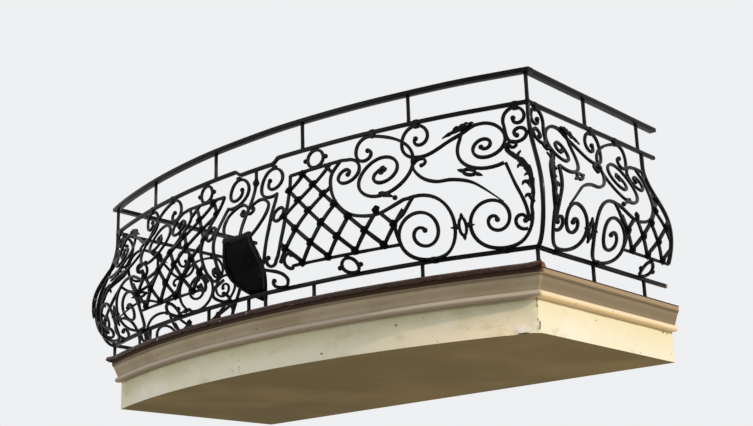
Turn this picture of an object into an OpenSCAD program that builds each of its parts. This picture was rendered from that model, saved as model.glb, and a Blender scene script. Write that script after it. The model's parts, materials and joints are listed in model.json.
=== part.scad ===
// Bow-fronted balcony: a masonry slab with a moulded edge carries a bellied
// wrought iron railing of scrolls and lattice panels.
// Millimetres. The wall stands at y = 0, the balcony reaches out along -Y,
// and z = 0 is half way up the slab's face against the wall.

/* [Plan] */
// Half the railing's width, from the middle to a corner
half_width = 1730; // [1550:10:1900]
// Depth of the straight sides, from the wall to a corner
side_depth = 1430; // [1300:10:1550]
// How far the front bows out past its corners
front_bow = 320; // [240:10:400]

/* [Slab] */
// Whole height of the slab, floor to underside
slab_h = 350; // [320:5:420]
// Overhang of the flashing's edge beyond the railing line
flashing_out = 30; // [24:1:45]
// Height of the flashing's turned-down lip
flashing_lip = 38; // [30:1:45]
// Thickness of the flashing sheet
flashing_t = 6; // [4:1:8]
// How far the flashing runs in over the floor
flashing_in = 150; // [110:5:200]
// Overhang of the plaster bed under the flashing
bed_out = 14; // [8:1:18]
// Height of the bed that shows under the lip
bed_show = 12; // [8:1:20]
// Height of the hollow moulding
cavetto_h = 85; // [70:1:95]
// How far the hollow moulding steps in
cavetto_in = 30; // [24:1:36]
// Height of the half-round roll
roll_h = 35; // [28:1:40]
// Set-back of the roll's middle behind the railing line
roll_in = 22; // [18:1:28]
// Set-back of the plain fascia
fascia_in = 43; // [38:1:50]
// Set-back of the slab's core behind the mouldings
core_in = 90; // [70:1:105]
// Thickness of the floor topping
topping_h = 30; // [20:1:36]

/* [Rails] */
// Height of the lower rail's middle above the floor
lower_rail_h = 83; // [70:1:110]
// Distance between the lower and the upper rail
rail_gap = 794; // [740:1:860]
// Height of the handrail's middle above the floor
handrail_h = 1050; // [1000:5:1100]
// Width of the handrail
handrail_w = 46; // [40:1:60]
// Thickness of the handrail
handrail_t = 26; // [20:1:32]
// How far the handrail stands outside the upper rail
handrail_out = 11; // [0:1:15]
// Section of the upper and lower rails
rail_w = 22; // [16:1:26]
// Drop of the upper rail over the centre panel
crank_drop = 30; // [20:1:40]
// Half length of the dropped stretch
crank_half = 140; // [120:5:160]
// Length of each slope into the drop
crank_run = 40; // [30:5:60]
// Section of feet, struts and stiles
post_w = 20; // [16:1:24]
// Distance from the wall's plane at which the side rails stop, against a pier of the wall
rail_stop = 100; // [60:5:140]
// Clear distance between the side rails' ends and the end stiles
stile_gap = 150; // [120:5:180]
// Clearance between ironwork pieces that only touch
touch_fit = 0.3; // [0.2:0.1:0.5]

/* [Belly] */
// How far the panels swell out past the rails
belly = 140; // [100:5:170]
// Share of that swelling which the corner posts take
post_share = 0.7; // [0.6:0.05:0.8]
// Distance from a corner to where the pattern starts
corner_gap = 8; // [8:1:16]
// Height of the fullest point above the lower rail
belly_h = 267; // [230:1:300]
// Distance below the upper rail where the swelling ends
neck_drop = 77; // [64:1:130]

/* [Scrolls] */
// Width of the scroll bars
bar_w = 19; // [16:1:22]
// Thickness of the scroll bars through the panel
bar_t = 18; // [14:1:22]
// Width of the lattice bars
lattice_w = 20; // [14:1:21]
// How much thinner the rising lattice bars are than the falling ones
lattice_step = 2; // [1:0.5:4]
// Diameter of the balls that end the scrolls
ball_d = 30; // [24:1:36]
// Diameter of the flower in the large C-scroll
flower_d = 48; // [36:1:56]
// Diameter of the rosettes on the crossings
rosette_d = 50; // [40:1:54]
// Height of the rosettes
rosette_h = 14; // [8:1:16]
// Width of the broad leaves
leaf_w = 44; // [36:1:50]
// Width of the spears and of the small leaves
spear_w = 22; // [16:1:26]
// Length of a collar along its bar
collar_l = 30; // [24:1:40]
// Height of the collars that hold the scrolls to the rails
collar_h = 26; // [20:1:30]
// Thickness of a collar's wall
collar_t = 5; // [4:1:8]

/* [Shield] */
// Width of the shield
shield_w = 270; // [250:5:300]
// Height of the shield along its own plane
shield_h = 430; // [400:5:450]
// How far the shield's foot stands behind the railing line
shield_back = 70; // [50:5:90]
// Depth to which the shield is dished
shield_dish = 24; // [16:1:30]
// Thickness of the shield's plate
shield_t = 8; // [6:1:12]
// Width of the shield's raised rim
rim_w = 26; // [20:1:32]
// Height of the rim over the shield's back
rim_h = 16; // [12:1:20]

/* [Hidden] */

iron = "#24262a";
iron_worn = "#3a3b3e";
plaster = "#cfc39d";
moulding = "#b3a68c";
metal = "#54423c";
screed = "#8f8a80";

// The front is an arc about a point behind the wall.
arc_r = (pow(half_width, 2) + pow(front_bow, 2)) / (2 * front_bow);
arc_y = arc_r - side_depth - front_bow;
half_angle = asin(half_width / arc_r);
half_front = arc_r * half_angle * PI / 180;
round_fn = 360;

floor_z = slab_h / 2;
lip_z = floor_z - flashing_lip;
bed_z = lip_z - bed_show;
cavetto_z = bed_z - cavetto_h;
roll_z = cavetto_z - roll_h;
upper_rail_h = lower_rail_h + rail_gap;
neck_h = rail_gap - neck_drop;

// The panels are drawn on flat sheets: along from the corner, and up from the lower rail
// over the swelling. The sheets have units of their own, and each is stretched to its
// panel: a half of the front is [1770, 880] on its sheet, and a side rail is 1385 long on its own.
front_sheet = [1770, 880];
side_sheet = [1385, 880];
FRONT = 0;
SIDE = 1;
turn_step = 32;
reach = 80;

// Cross-section of the swelling: a quarter oval below, an S-shaped neck, then upright.
profile = concat(
    [for (a = [0:10:90]) [belly * sin(a), belly_h * (1 - cos(a))]],
    [for (k = [1:9]) [belly * (1 + cos(20 * k)) / 2, belly_h + (neck_h - belly_h) * k / 9]],
    [[0, rail_gap]]
);
steps = [for (i = [1:len(profile) - 1]) norm(profile[i] - profile[i - 1])];
function sum(list, n) = n <= 0 ? 0 : list[n - 1] + sum(list, n - 1);
run = [for (i = [0:len(profile) - 1]) sum(steps, i)];
over = run[len(run) - 1];
function lean_at(i) = let (
    a = profile[max(i - 1, 0)],
    b = profile[min(i + 1, len(profile) - 1)]
) i == 0 ? 90 : atan2(b.x - a.x, b.y - a.y);
belly_out = [for (i = [0:len(profile) - 1]) [run[i], profile[i].x]];
belly_up = [for (i = [0:len(profile) - 1]) [run[i], profile[i].y]];
belly_lean = [for (i = [0:len(profile) - 1]) [run[i], lean_at(i)]];

function along_unit(face) = face == FRONT ? (half_front - corner_gap) / front_sheet.x
    : (side_depth - rail_stop - corner_gap) / side_sheet.x;
up_unit = over / front_sheet.y;
side_end = (side_depth - rail_stop - stile_gap - corner_gap) / along_unit(SIDE);
function end_of(face) = face == FRONT ? front_sheet.x : side_end;

// A point of a panel: along and up its pattern, and proud of the bars' middle.
function place(face, along, up, proud = 0) = let (
    e = corner_gap + along * along_unit(face),
    v = up * up_unit,
    lean = lookup(v, belly_lean),
    b = lookup(v, belly_out) + proud * cos(lean),
    z = floor_z + lower_rail_h + lookup(v, belly_up) - proud * sin(lean),
    a = (half_front - e) / arc_r * 180 / PI
) face == FRONT
    ? [(arc_r + b) * sin(a), arc_y - (arc_r + b) * cos(a), z]
    : [half_width + b, e - side_depth, z];

// Spiral about c: radius r0 at angle a0 to r1 at a1; tight over 1 closes it faster.
function curl(c, r0, r1, a0, a1, tight = 1) = let (n = ceil(abs(a1 - a0) / turn_step))
    [for (i = [0:n]) let (
        t = i / n,
        a = a0 + (a1 - a0) * t,
        r = r1 + (r0 - r1) * pow(1 - t, tight)
    ) c + r * [cos(a), sin(a)]];

function back(list) = [for (i = [len(list) - 1:-1:0]) list[i]];
function last(list) = list[len(list) - 1];

// Smooth curve through hand-set points, with three steps from each to the next.
function flow(p, m = 3) = let (n = len(p)) concat(
    [for (i = [0:n - 2], k = [0:m - 1]) let (
        t = k / m,
        a = p[max(i - 1, 0)], b = p[i], c = p[i + 1], d = p[min(i + 2, n - 1)]
    ) 0.5 * (2 * b + (c - a) * t + (2 * a - 5 * b + 4 * c - d) * pow(t, 2)
        + (3 * b - a - 3 * c + d) * pow(t, 3))],
    [last(p)]
);

// Two curves joined by an easy bend that leaves each in its own direction.
function join(first, second, pull = 0.4) = let (
    n1 = len(first),
    p0 = first[n1 - 1],
    p3 = second[0],
    d0 = p0 - first[n1 - 2],
    d3 = second[0] - second[1],
    gap = norm(p3 - p0),
    p1 = p0 + d0 / norm(d0) * gap * pull,
    p2 = p3 + d3 / norm(d3) * gap * pull,
    n = max(2, round(gap / reach))
) concat(first, [for (i = [1:n - 1]) let (t = i / n, s = 1 - t)
    pow(s, 3) * p0 + 3 * s * s * t * p1 + 3 * s * t * t * p2 + pow(t, 3) * p3], second);

// Long straight stretches are divided so that they follow the swelling.
function divided(path, step = reach) = concat(
    [for (i = [0:len(path) - 2]) let (n = max(1, ceil(norm(path[i + 1] - path[i]) / step)))
        for (k = [0:n - 1]) path[i] + (path[i + 1] - path[i]) * k / n],
    [last(path)]
);

function inside(face, path) = [for (p = path) if (p.x <= end_of(face)) p];

// Bar of four sides swept along a path on the pattern. The widths run along the path,
// and a closed path makes a ring.
module bar(face, path, w = bar_w, t = bar_t, widths = [1, 1], proud = 0, closed = false) {
    n = len(path);
    grid = [for (i = [0:n - 1]) let (
        a = closed ? path[(i + n - 1) % n] : path[max(i - 1, 0)],
        b = closed ? path[(i + 1) % n] : path[min(i + 1, n - 1)],
        d = (b - a) / norm(b - a),
        half = w / 2 * lookup(i / (n - 1) * (len(widths) - 1), [for (k = [0:len(widths) - 1]) [k, widths[k]]]),
        side = half * [-d.y / along_unit(face), d.x / up_unit]
    ) for (q = [[1, -1], [1, 1], [-1, 1], [-1, -1]])
        place(face, path[i].x + side.x * q.x, path[i].y + side.y * q.x, proud + q.y * t / 2)];
    loops = closed ? n : n - 1;
    skin = [for (i = [0:loops - 1], k = [0:3]) let (
        a = i * 4 + k,
        b = i * 4 + (k + 1) % 4,
        c = ((i + 1) % n) * 4 + (k + 1) % 4,
        d = ((i + 1) % n) * 4 + k
    ) each [[a, b, c], [a, c, d]]];
    e = (n - 1) * 4;
    caps = closed ? [] : [[0, 2, 1], [0, 3, 2], [e, e + 1, e + 2], [e, e + 2, e + 3]];
    faces = concat(skin, caps);
    polyhedron(grid, face == FRONT ? faces : [for (f = faces) back(f)]);
}

// Oval ring, turned on the pattern.
module ring(face, c, rx, ry, turn = 0, w = bar_w) {
    n = 12;
    path = [for (i = [0:n - 1]) let (a = 360 * i / n, x = rx * cos(a), y = ry * sin(a))
        c + [x * cos(turn) - y * sin(turn), x * sin(turn) + y * cos(turn)]];
    bar(face, path, w = w, closed = true);
}

// Plain leaf or spear blade between two points, widest a third of the way along.
module blade(face, a, b, w = spear_w, t = bar_t) {
    bar(face, [a, a + (b - a) * 0.35, b], w = w, t = t, widths = [0.4, 1, 0.15]);
}

// Ball at the end of a scroll.
module ball(face, c, d = ball_d) {
    translate(place(face, c.x, c.y)) sphere(d = d, $fn = 6);
}

// Collar round one bar, turned on the pattern.
module collar(face, c, turn = 0) {
    d = collar_l / 2 / up_unit * [cos(turn), sin(turn)];
    bar(face, [c - d, c + d], w = bar_w + 2 * collar_t, t = bar_t + 2 * collar_t);
}

// Collar that holds a scroll against the upper rail (side 1) or the lower rail (side -1).
module rail_collar(face, along, side) {
    off = (rail_w / 2 + touch_fit + collar_h / 2) / up_unit;
    up = side > 0 ? front_sheet.y - off : off;
    d = [collar_l / 2 / along_unit(face), 0];
    bar(face, [[along, up] - d, [along, up] + d], w = collar_h, t = bar_t + 2 * collar_t);
}

// Curves of one bay, all on the pattern.
lattice_foot = 143;
shield_top = 425;
corner_curl = join(curl([60, 801], 16, 76, 0, -385), curl([50, 705], 57, 14, -82, -420));
upper_s = join(
    join(curl([625, 781], 14, 118, 15, -450), flow([[506, 690], [440, 728], [375, 757]], 2)),
    curl([232, 658], 145, 20, 78, 700, 1.8)
);
hip_arc = curl([217, 690], 160, 206, 16, -120);
hip_bar = flow([[105, 507], [57, 379], [24, 300], [5, 240], [-5, 166]], 2);
leaf_arm = flow([[110, 640], [108, 600], [70, 552], [10, 485], [-28, 410], [-38, 320]], 2);
leaf_widths = concat([1, 1, 1, 1.3, 1.8, 2.2, 2, 2.4, 2.2, 2, 1.6, 1.3, 1, 1], [for (i = [1:22]) 1]);
leaf_lobes = [[[14, 490], [32, 562]], [[-18, 430], [30, 471]], [[-36, 330], [3, 363]], [[-34, 262], [-10, 296]]];
lower_c = curl([172, 195], 198, 12, 168, 900, 1.5);
lower_curl = curl([30, 176], 50, 13, -112, 200);
small_hook = curl([78, 630], 30, 14, 0, 330);
thin_s = flow([[649, 650], [625, 572], [560, 497], [480, 458], [393, 453], [300, 425], [229, 378], [136, 300]], 2);
thin_curl = curl([590, 611], 44, 16, 4, 250);
big_c = join(curl([948, 766], 12, 98, 120, 475), curl([825, 596], 188, 24, 167, 800));
frame_top = join([[1489, 743], [1256, 752], [1119, 754]], curl([1066, 650], 100, 12, 82, 560));
frame_side = flow([[1127, 750], [1172, 672], [1146, 563], [1079, 447], [992, 364], [906, 333],
    [822, 326], [756, 342], [663, 380]], 2);
great_curl = curl([568, 182], 212, 22, 71, 860, 1.15);
frame_edge = flow([[607, 384], [661, 304], [715, 251], [700, lattice_foot]], 2);
frame_foot = [[700, lattice_foot], [1340, lattice_foot]];
foot_curl = curl([1403, 180], 52, 30, -90, 120);
frame_left = join(
    flow([[1489, 743], [1464, 626], [1437, 500], [1429, 381], [1455, 279], [1482, 215]], 2),
    curl([1545, 203], 46, 16, 190, 420)
);

// Outline that the lattice bars are cut to, and the grid of their crossings.
outline = concat([[1489, 743], [1119, 760]], frame_side, [[660, 300], [715, 251], [700, lattice_foot], [1480, lattice_foot]],
    [[1455, 279], [1429, 381], [1437, 500], [1464, 626]]);
grid_0 = [1464, 630];
grid_i = [-99, -95];
grid_j = [-76, 97];
crossing_rows = [[-2, 2, 3], [-1, 1, 4], [0, 0, 5], [1, 0, 6], [2, 5, 6]];

function cross2(a, b) = a.x * b.y - a.y * b.x;
function sorted(l) = len(l) < 2 ? l : let (p = l[0], rest = [for (i = [1:len(l) - 1]) l[i]]) concat(
    sorted([for (x = rest) if (x < p) x]), [p], sorted([for (x = rest) if (x >= p) x]));
// Where the line from p along d crosses the outline, as shares of d.
function cuts(p, d, poly) = sorted([for (i = [0:len(poly) - 1]) let (
    a = poly[i],
    s = poly[(i + 1) % len(poly)] - a,
    den = cross2(d, s)
) if (abs(den) > 0.001) let (t = cross2(a - p, s) / den, u = cross2(a - p, d) / den)
    if (u >= 0 && u < 1) t]);

// A row's points between two cuts: its crossings, and half way between them.
function row_path(p, d, from, to) = concat(
    [p + from * d],
    [for (k = [ceil(2 * from):floor(2 * to)]) if (k / 2 > from + 0.1 && k / 2 < to - 0.1) p + k / 2 * d],
    [p + to * d]
);

module lattice_row(face, p, d, t = bar_t) {
    poly = [for (q = outline) [min(q.x, end_of(face)), q.y]];
    c = cuts(p, d, poly);
    if (len(c) > 1)
        for (k = [0:2:len(c) - 2])
            if ((c[k + 1] - c[k]) * norm(d) > 40)
                bar(face, row_path(p, d, c[k], c[k + 1]), w = lattice_w, t = t);
}

// The frame's end bar on a side panel, from the upper rail down to the lattice's foot.
stile = [for (v = concat([lattice_foot * up_unit], [for (v = run) if (v > (lattice_foot + bar_w) * up_unit) v]))
    [side_end, min(v, over - rail_w / 2 - touch_fit) / up_unit]];

module lattice_bay(face) {
    for (row = crossing_rows) lattice_row(face, grid_0 + row[0] * grid_j, grid_i);
    for (i = [0:6]) lattice_row(face, grid_0 + i * grid_i, grid_j, bar_t - lattice_step);
    bar(face, face == FRONT ? frame_top : concat([[side_end, 752]], inside(face, frame_top)));
    ball(face, last(frame_top));
    bar(face, join(frame_side, great_curl, 0.5));
    ball(face, last(great_curl));
    rail_collar(face, 552, -1);
    bar(face, frame_edge);
    bar(face, divided(face == FRONT ? frame_foot : [[700, lattice_foot], [side_end, lattice_foot]], 160));
    ring(face, [1035, 74], 50, 50);
    for (x = [969, 1101]) ball(face, [x, 74]);
    collar(face, [1035, 133]);
    if (face == FRONT) {
        bar(face, concat([[1330, lattice_foot]], foot_curl));
        ball(face, last(foot_curl));
        bar(face, frame_left);
        ball(face, last(frame_left));
        ring(face, [1303, 807], 56, 52);
        for (x = [1230, 1376]) ball(face, [x, 807]);
        ring(face, [1490, 470], 36, 46);
    } else {
        bar(face, stile, w = post_w, t = post_w);
    }
}

module corner_bay(face) {
    bar(face, corner_curl);
    ball(face, corner_curl[0]);
    ball(face, last(corner_curl));
    rail_collar(face, 62, 1);
    bar(face, small_hook);
    bar(face, hip_arc);
    bar(face, divided(hip_bar));
    bar(face, concat(leaf_arm, lower_c), widths = leaf_widths);
    ball(face, last(lower_c));
    rail_collar(face, 157, -1);
    for (lobe = leaf_lobes) blade(face, lobe[0], lobe[1]);
    ring(face, [300, 484], 36, 17, 24);
    blade(face, [267, 469], [224, 448]);
    blade(face, [333, 499], [368, 512]);
    bar(face, lower_curl);
    ball(face, last(lower_curl));
    ring(face, [345, 184], 19, 46);
    for (y = [-1, 1]) blade(face, [345, 184 + 44 * y], [345, 184 + 70 * y]);
    for (x = [-1, 1]) {
        blade(face, [345 + 16 * x, 186], [345 + 66 * x, 186]);
        ball(face, [345 + 36 * x, 188]);
    }
}

module long_bay(face) {
    bar(face, upper_s);
    ball(face, upper_s[0]);
    ball(face, last(upper_s));
    rail_collar(face, 633, 1);
    blade(face, [362, 768], [470, 742], leaf_w);
    for (x = [332, 352, 372]) blade(face, [x - 6, 1066 - 0.85 * x], [x, 1122 - 0.85 * x]);
    bar(face, thin_s, widths = [1, 1, 1, 0.5]);
    bar(face, thin_curl);
    ball(face, last(thin_curl));
    bar(face, big_c);
    ball(face, big_c[0]);
    ball(face, last(big_c), flower_d);
    rail_collar(face, 908, 1);
    blade(face, [796, 444], [712, 402], leaf_w);
    ball(face, [711, 403]);
    collar(face, [636, 640], turn = 60);
}

module center_half() {
    bar(FRONT, curl([1617, 738], 36, 114, 20, -475));
    ball(FRONT, [1650, 750]);
    collar(FRONT, [1617, 829], turn = 90);
    bar(FRONT, divided(flow([[1567, 645], [1556, 590], [1548, 500], [1541, 420], [1548, 351], [1580, 233]], 2)));
    bar(FRONT, flow([[1764, 588], [1729, 618], [1690, 630], [1645, 614], [1607, 578], [1596, 533],
        [1603, 480], [1632, 424]], 2));
    bar(FRONT, curl([1738, 562], 28, 14, -20, -230));
    ball(FRONT, [1728, 570]);
    bar(FRONT, join(flow([[1578, 150], [1519, 131], [1479, 106], [1466, 72], [1492, 38]], 2),
        curl([1552, 64], 38, 20, -90, 60)));
    ball(FRONT, [1560, 80]);
}

module center_scrolls() {
    color(iron) union() {
        center_half();
        mirror([1, 0, 0]) center_half();
        bar(FRONT, divided([[front_sheet.x, 838], [front_sheet.x, shield_top + touch_fit / up_unit]]));
        ball(FRONT, [front_sheet.x, 765], flower_d);
    }
}

// Shield: peaked top, straight flanks and a pointed foot. It is a flat-backed plate that
// leans out at its top, where it meets the stem, and so faces the street below.
shield_half = shield_w / 2;
shield_outline = [
    [0, 1], [0.42, 0.95], [0.8, 0.985], [1, 0.92], [0.94, 0.75], [1, 0.52], [0.86, 0.32], [0.5, 0.13], [0, 0]
];
shield_edge = concat(shield_outline, [for (i = [len(shield_outline) - 2:-1:1])
    [-shield_outline[i].x, shield_outline[i].y]]);
shield_head = place(FRONT, front_sheet.x, shield_top);
shield_lean = asin((-shield_head.y - side_depth - front_bow + shield_back) / shield_h);

// Point of the shield: its outline drawn in by scale, and lifted off its back.
function shield_at(p, scale, lift) = let (
    down = shield_h * (0.5 - (p.y - 0.5) * scale),
    q = lift - rim_h / 2
) [p.x * shield_half * scale, shield_head.y + down * sin(shield_lean) - q * cos(shield_lean),
    shield_head.z - down * cos(shield_lean) - q * sin(shield_lean)];

// Dished plate between two rows of edge points and a middle point front and back.
module center_shield() {
    n = len(shield_edge);
    inner = 1 - rim_w / shield_half;
    deep = shield_dish * 0.8;
    pts = concat(
        [for (p = shield_edge) shield_at(p, inner, 0)],
        [for (p = shield_edge) shield_at(p, inner, shield_t)],
        [for (p = shield_edge) shield_at(p, inner / 2, deep)],
        [for (p = shield_edge) shield_at(p, inner / 2, shield_t + deep)],
        [shield_at([0, 0.5], 1, shield_dish), shield_at([0, 0.5], 1, shield_t + shield_dish)]
    );
    faces = [for (i = [0:n - 1]) let (j = (i + 1) % n) each [
        [i, j, n + j], [i, n + j, n + i],
        [n + i, n + j, 3 * n + j], [n + i, 3 * n + j, 3 * n + i],
        [3 * n + i, 3 * n + j, 4 * n + 1],
        [2 * n + i, j, i], [2 * n + i, 2 * n + j, j],
        [4 * n, 2 * n + j, 2 * n + i]
    ]];
    color(iron_worn) polyhedron(pts, faces);
}

module shield_rim() {
    n = len(shield_edge);
    inner = 1 - rim_w / shield_half;
    seat = inner + touch_fit / shield_half;
    pts = concat(
        [for (p = shield_edge) shield_at(p, 1, 0)],
        [for (p = shield_edge) shield_at(p, 1, rim_h * 0.6)],
        [for (p = shield_edge) shield_at(p, (1 + inner) / 2, rim_h)],
        [for (p = shield_edge) shield_at(p, seat, 0)]
    );
    faces = [for (i = [0:n - 1], k = [0:3]) let (
        j = (i + 1) % n,
        a = k * n,
        b = (k + 1) % 4 * n
    ) each [[a + i, a + j, b + j], [a + i, b + j, b + i]]];
    color(iron) polyhedron(pts, faces);
}

// Plain block of the slab's plan, out past the railing line by off.
module plan_block(off, z0, z1) {
    intersection() {
        translate([0, arc_y, z0]) cylinder(r = arc_r + off, h = z1 - z0, $fn = round_fn);
        translate([-half_width - off, -side_depth - front_bow * 2, z0])
            cube([2 * (half_width + off), side_depth + front_bow * 2, z1 - z0]);
    }
}

// The same plan with a moulded edge; the profile holds [out, z] from the bottom up.
module plan_moulding(edge) {
    z0 = edge[0].y;
    z1 = last(edge).y;
    intersection() {
        translate([0, arc_y, 0]) rotate_extrude($fn = round_fn)
            polygon(concat([[0, z0]], [for (p = edge) [arc_r + p.x, p.y]], [[0, z1]]));
        rotate([90, 0, 0]) linear_extrude(height = side_depth + front_bow * 2)
            polygon(concat([for (p = edge) [half_width + p.x, p.y]],
                [for (p = back(edge)) [-half_width - p.x, p.y]]));
    }
}

module slab_core() {
    color(plaster) plan_block(-core_in, -slab_h / 2, floor_z - topping_h);
}

module floor_topping() {
    color(screed) plan_block(-flashing_in, floor_z - topping_h, floor_z);
}

module edge_flashing() {
    color(metal) difference() {
        plan_block(flashing_out, lip_z, floor_z);
        plan_block(flashing_out - flashing_t, lip_z - 1, floor_z - flashing_t);
        plan_block(-flashing_in, floor_z - flashing_t - 1, floor_z + 1);
    }
}

module cornice_bed() {
    color(plaster) difference() {
        plan_block(bed_out, bed_z, floor_z - flashing_t);
        plan_block(-core_in, bed_z - 1, floor_z - topping_h);
        plan_block(-flashing_in, floor_z - topping_h - 1, floor_z);
    }
}

module cornice_cavetto() {
    hollow = [for (a = [0:15:90]) [bed_out - 6 - cavetto_in * sin(90 - a), cavetto_z + (cavetto_h - 8) * (1 - cos(a))]];
    edge = concat([[bed_out - 6 - cavetto_in, cavetto_z]], [for (i = [1:len(hollow) - 1]) hollow[i]],
        [[bed_out - 2, cavetto_z + cavetto_h - 8], [bed_out - 2, bed_z]]);
    color(moulding) difference() {
        plan_moulding(edge);
        plan_block(-core_in, cavetto_z - 1, bed_z + 1);
    }
}

module cornice_roll() {
    r = roll_h / 2;
    edge = [for (a = [-90:15:90]) [r * cos(a) - roll_in, cavetto_z - r + r * sin(a)]];
    color(moulding) difference() {
        plan_moulding(edge);
        plan_block(-core_in, roll_z - 1, cavetto_z + 1);
    }
}

module fascia_band() {
    edge = [[-fascia_in, -slab_h / 2], [-fascia_in, roll_z]];
    color(plaster) difference() {
        plan_moulding(edge);
        plan_block(-core_in, -slab_h / 2 - 1, roll_z + 1);
    }
}

// Arc of rail along the front, cut flush with the outer faces of the side rails.
module front_strip(h, w, t, out = 0) {
    intersection() {
        translate([0, arc_y, floor_z + h - t / 2]) difference() {
            cylinder(r = arc_r + out + w / 2, h = t, $fn = round_fn);
            translate([0, 0, -1]) cylinder(r = arc_r + out - w / 2, h = t + 2, $fn = round_fn);
        }
        translate([-half_width - out - w / 2, -side_depth - front_bow * 2, floor_z + h - t])
            cube([2 * (half_width + out) + w, side_depth + front_bow * 2, 2 * t]);
    }
}

// Straight side rail from its stop by the wall to the back of the front rail.
module side_strip(h, w, t, out = 0) {
    intersection() {
        translate([half_width + out - w / 2, -side_depth - front_bow, floor_z + h - t / 2])
            cube([w, side_depth + front_bow - rail_stop, t]);
        translate([0, arc_y, floor_z + h - t])
            cylinder(r = arc_r + out - w / 2, h = 2 * t, $fn = round_fn);
    }
}

module handrail_front() {
    color(iron) front_strip(handrail_h, handrail_w, handrail_t, handrail_out);
}

module handrail_right() {
    color(iron) side_strip(handrail_h, handrail_w, handrail_t, handrail_out);
}

module handrail_left() {
    mirror([1, 0, 0]) handrail_right();
}

// Short piece of the upper rail between two angles and two heights.
module rail_link(a0, a1, h0, h1) {
    hull() for (q = [[a0, h0], [a1, h1]])
        translate([0, arc_y, floor_z + q[1]]) rotate([0, 0, q[0] - 90])
            translate([arc_r, 0, 0]) cube([rail_w, 0.01, rail_w], center = true);
}

module upper_rail_front() {
    a1 = crank_half / arc_r * 180 / PI;
    a2 = (crank_half + crank_run) / arc_r * 180 / PI;
    color(iron) union() {
        difference() {
            front_strip(upper_rail_h, rail_w, rail_w);
            translate([0, arc_y, floor_z + upper_rail_h - rail_w]) linear_extrude(height = 2 * rail_w)
                polygon([[0, 0], 2 * arc_r * [-sin(a2), -cos(a2)], 2 * arc_r * [sin(a2), -cos(a2)]]);
        }
        intersection() {
            front_strip(upper_rail_h - crank_drop, rail_w, rail_w);
            translate([0, arc_y, floor_z + upper_rail_h - crank_drop - rail_w]) linear_extrude(height = 2 * rail_w)
                polygon([[0, 0], 2 * arc_r * [-sin(a1), -cos(a1)], 2 * arc_r * [sin(a1), -cos(a1)]]);
        }
        for (m = [-1, 1]) rail_link(m * a1, m * a2, upper_rail_h - crank_drop, upper_rail_h);
    }
}

module upper_rail_right() {
    color(iron) side_strip(upper_rail_h, rail_w, rail_w);
}

module upper_rail_left() {
    mirror([1, 0, 0]) upper_rail_right();
}

module lower_rail_front() {
    color(iron) front_strip(lower_rail_h, rail_w, rail_w);
}

module lower_rail_right() {
    color(iron) side_strip(lower_rail_h, rail_w, rail_w);
}

module lower_rail_left() {
    mirror([1, 0, 0]) lower_rail_right();
}

// Upright block on the railing line of a face, between two heights above the floor.
module upright(face, along, h0, h1) {
    if (face == FRONT) {
        a = (half_front - along * along_unit(FRONT)) / arc_r * 180 / PI;
        translate([0, arc_y, floor_z + h0]) rotate([0, 0, a]) translate([-post_w / 2, -arc_r - post_w / 2, 0])
            cube([post_w, post_w, h1 - h0]);
    } else {
        translate([half_width - post_w / 2, along * along_unit(SIDE) - side_depth - post_w / 2, floor_z + h0])
            cube([post_w, post_w, h1 - h0]);
    }
}

strut_places = [[FRONT, 684], [FRONT, 1404], [SIDE, 588], [SIDE, 1198]];
foot_places = [[FRONT, 638], [FRONT, 1339], [FRONT, 1708], [SIDE, 552], [SIDE, 1116]];

module handrail_struts() {
    low = upper_rail_h + rail_w / 2;
    high = handrail_h - handrail_t / 2;
    color(iron) for (m = [0, 1]) mirror([m, 0, 0]) {
        for (s = strut_places) upright(s[0], s[1], low, high);
        translate([half_width - post_w / 2, -side_depth - post_w / 2, floor_z + low])
            cube([post_w, post_w, high - low]);
    }
}

module rail_feet() {
    high = lower_rail_h - rail_w / 2;
    color(iron) for (m = [0, 1]) mirror([m, 0, 0]) {
        for (s = foot_places) upright(s[0], s[1], 0, high);
        translate([half_width - post_w / 2, -side_depth - post_w / 2, floor_z]) cube([post_w, post_w, high]);
    }
}

// The corner post runs up the mitre where the two swellings meet.
module corner_post_right() {
    mitre = post_share * tan((90 - half_angle) / 2);
    levels = [for (i = [0:len(run) - 1]) if (run[i] > rail_w / 2 && run[i] < over - rail_w / 2) run[i]];
    rise = concat([rail_w / 2], levels, [over - rail_w / 2]);
    path = [for (v = rise) [(-mitre * lookup(v, belly_out) - corner_gap) / along_unit(SIDE), v / up_unit]];
    color(iron) translate([half_width, 0, 0]) scale([post_share, 1, 1]) translate([-half_width, 0, 0])
        bar(SIDE, path, w = post_w, t = post_w / post_share);
}

module corner_post_left() {
    mirror([1, 0, 0]) corner_post_right();
}

// How far the bars beside a crossing rise in the hollow of the neck, at a rosette's edge.
mesh_half = 45;
function hollow(v) = let (
    beside = (lookup(v + mesh_half, belly_out) + lookup(v - mesh_half, belly_out)) / 2
) max(0, beside - lookup(v, belly_out)) * rosette_d / 2 / mesh_half;

// Domed rosettes, one over each crossing, seated on the bars' outer faces.
module rosette_bay(face) {
    for (row = crossing_rows, i = [row[1]:row[2]]) {
        p = grid_0 + i * grid_i + row[0] * grid_j;
        if (p.x < end_of(face) - rosette_d / 2) {
            seat = bar_t / 2 + touch_fit + hollow(p.y * up_unit);
            a = place(face, p.x, p.y, seat);
            b = place(face, p.x, p.y, seat + rosette_h);
            d = b - a;
            translate(a) rotate([0, acos(d.z / norm(d)), atan2(d.y, d.x)])
                cylinder(h = rosette_h, r1 = rosette_d / 2, r2 = rosette_d / 4, $fn = 24);
        }
    }
}

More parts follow.
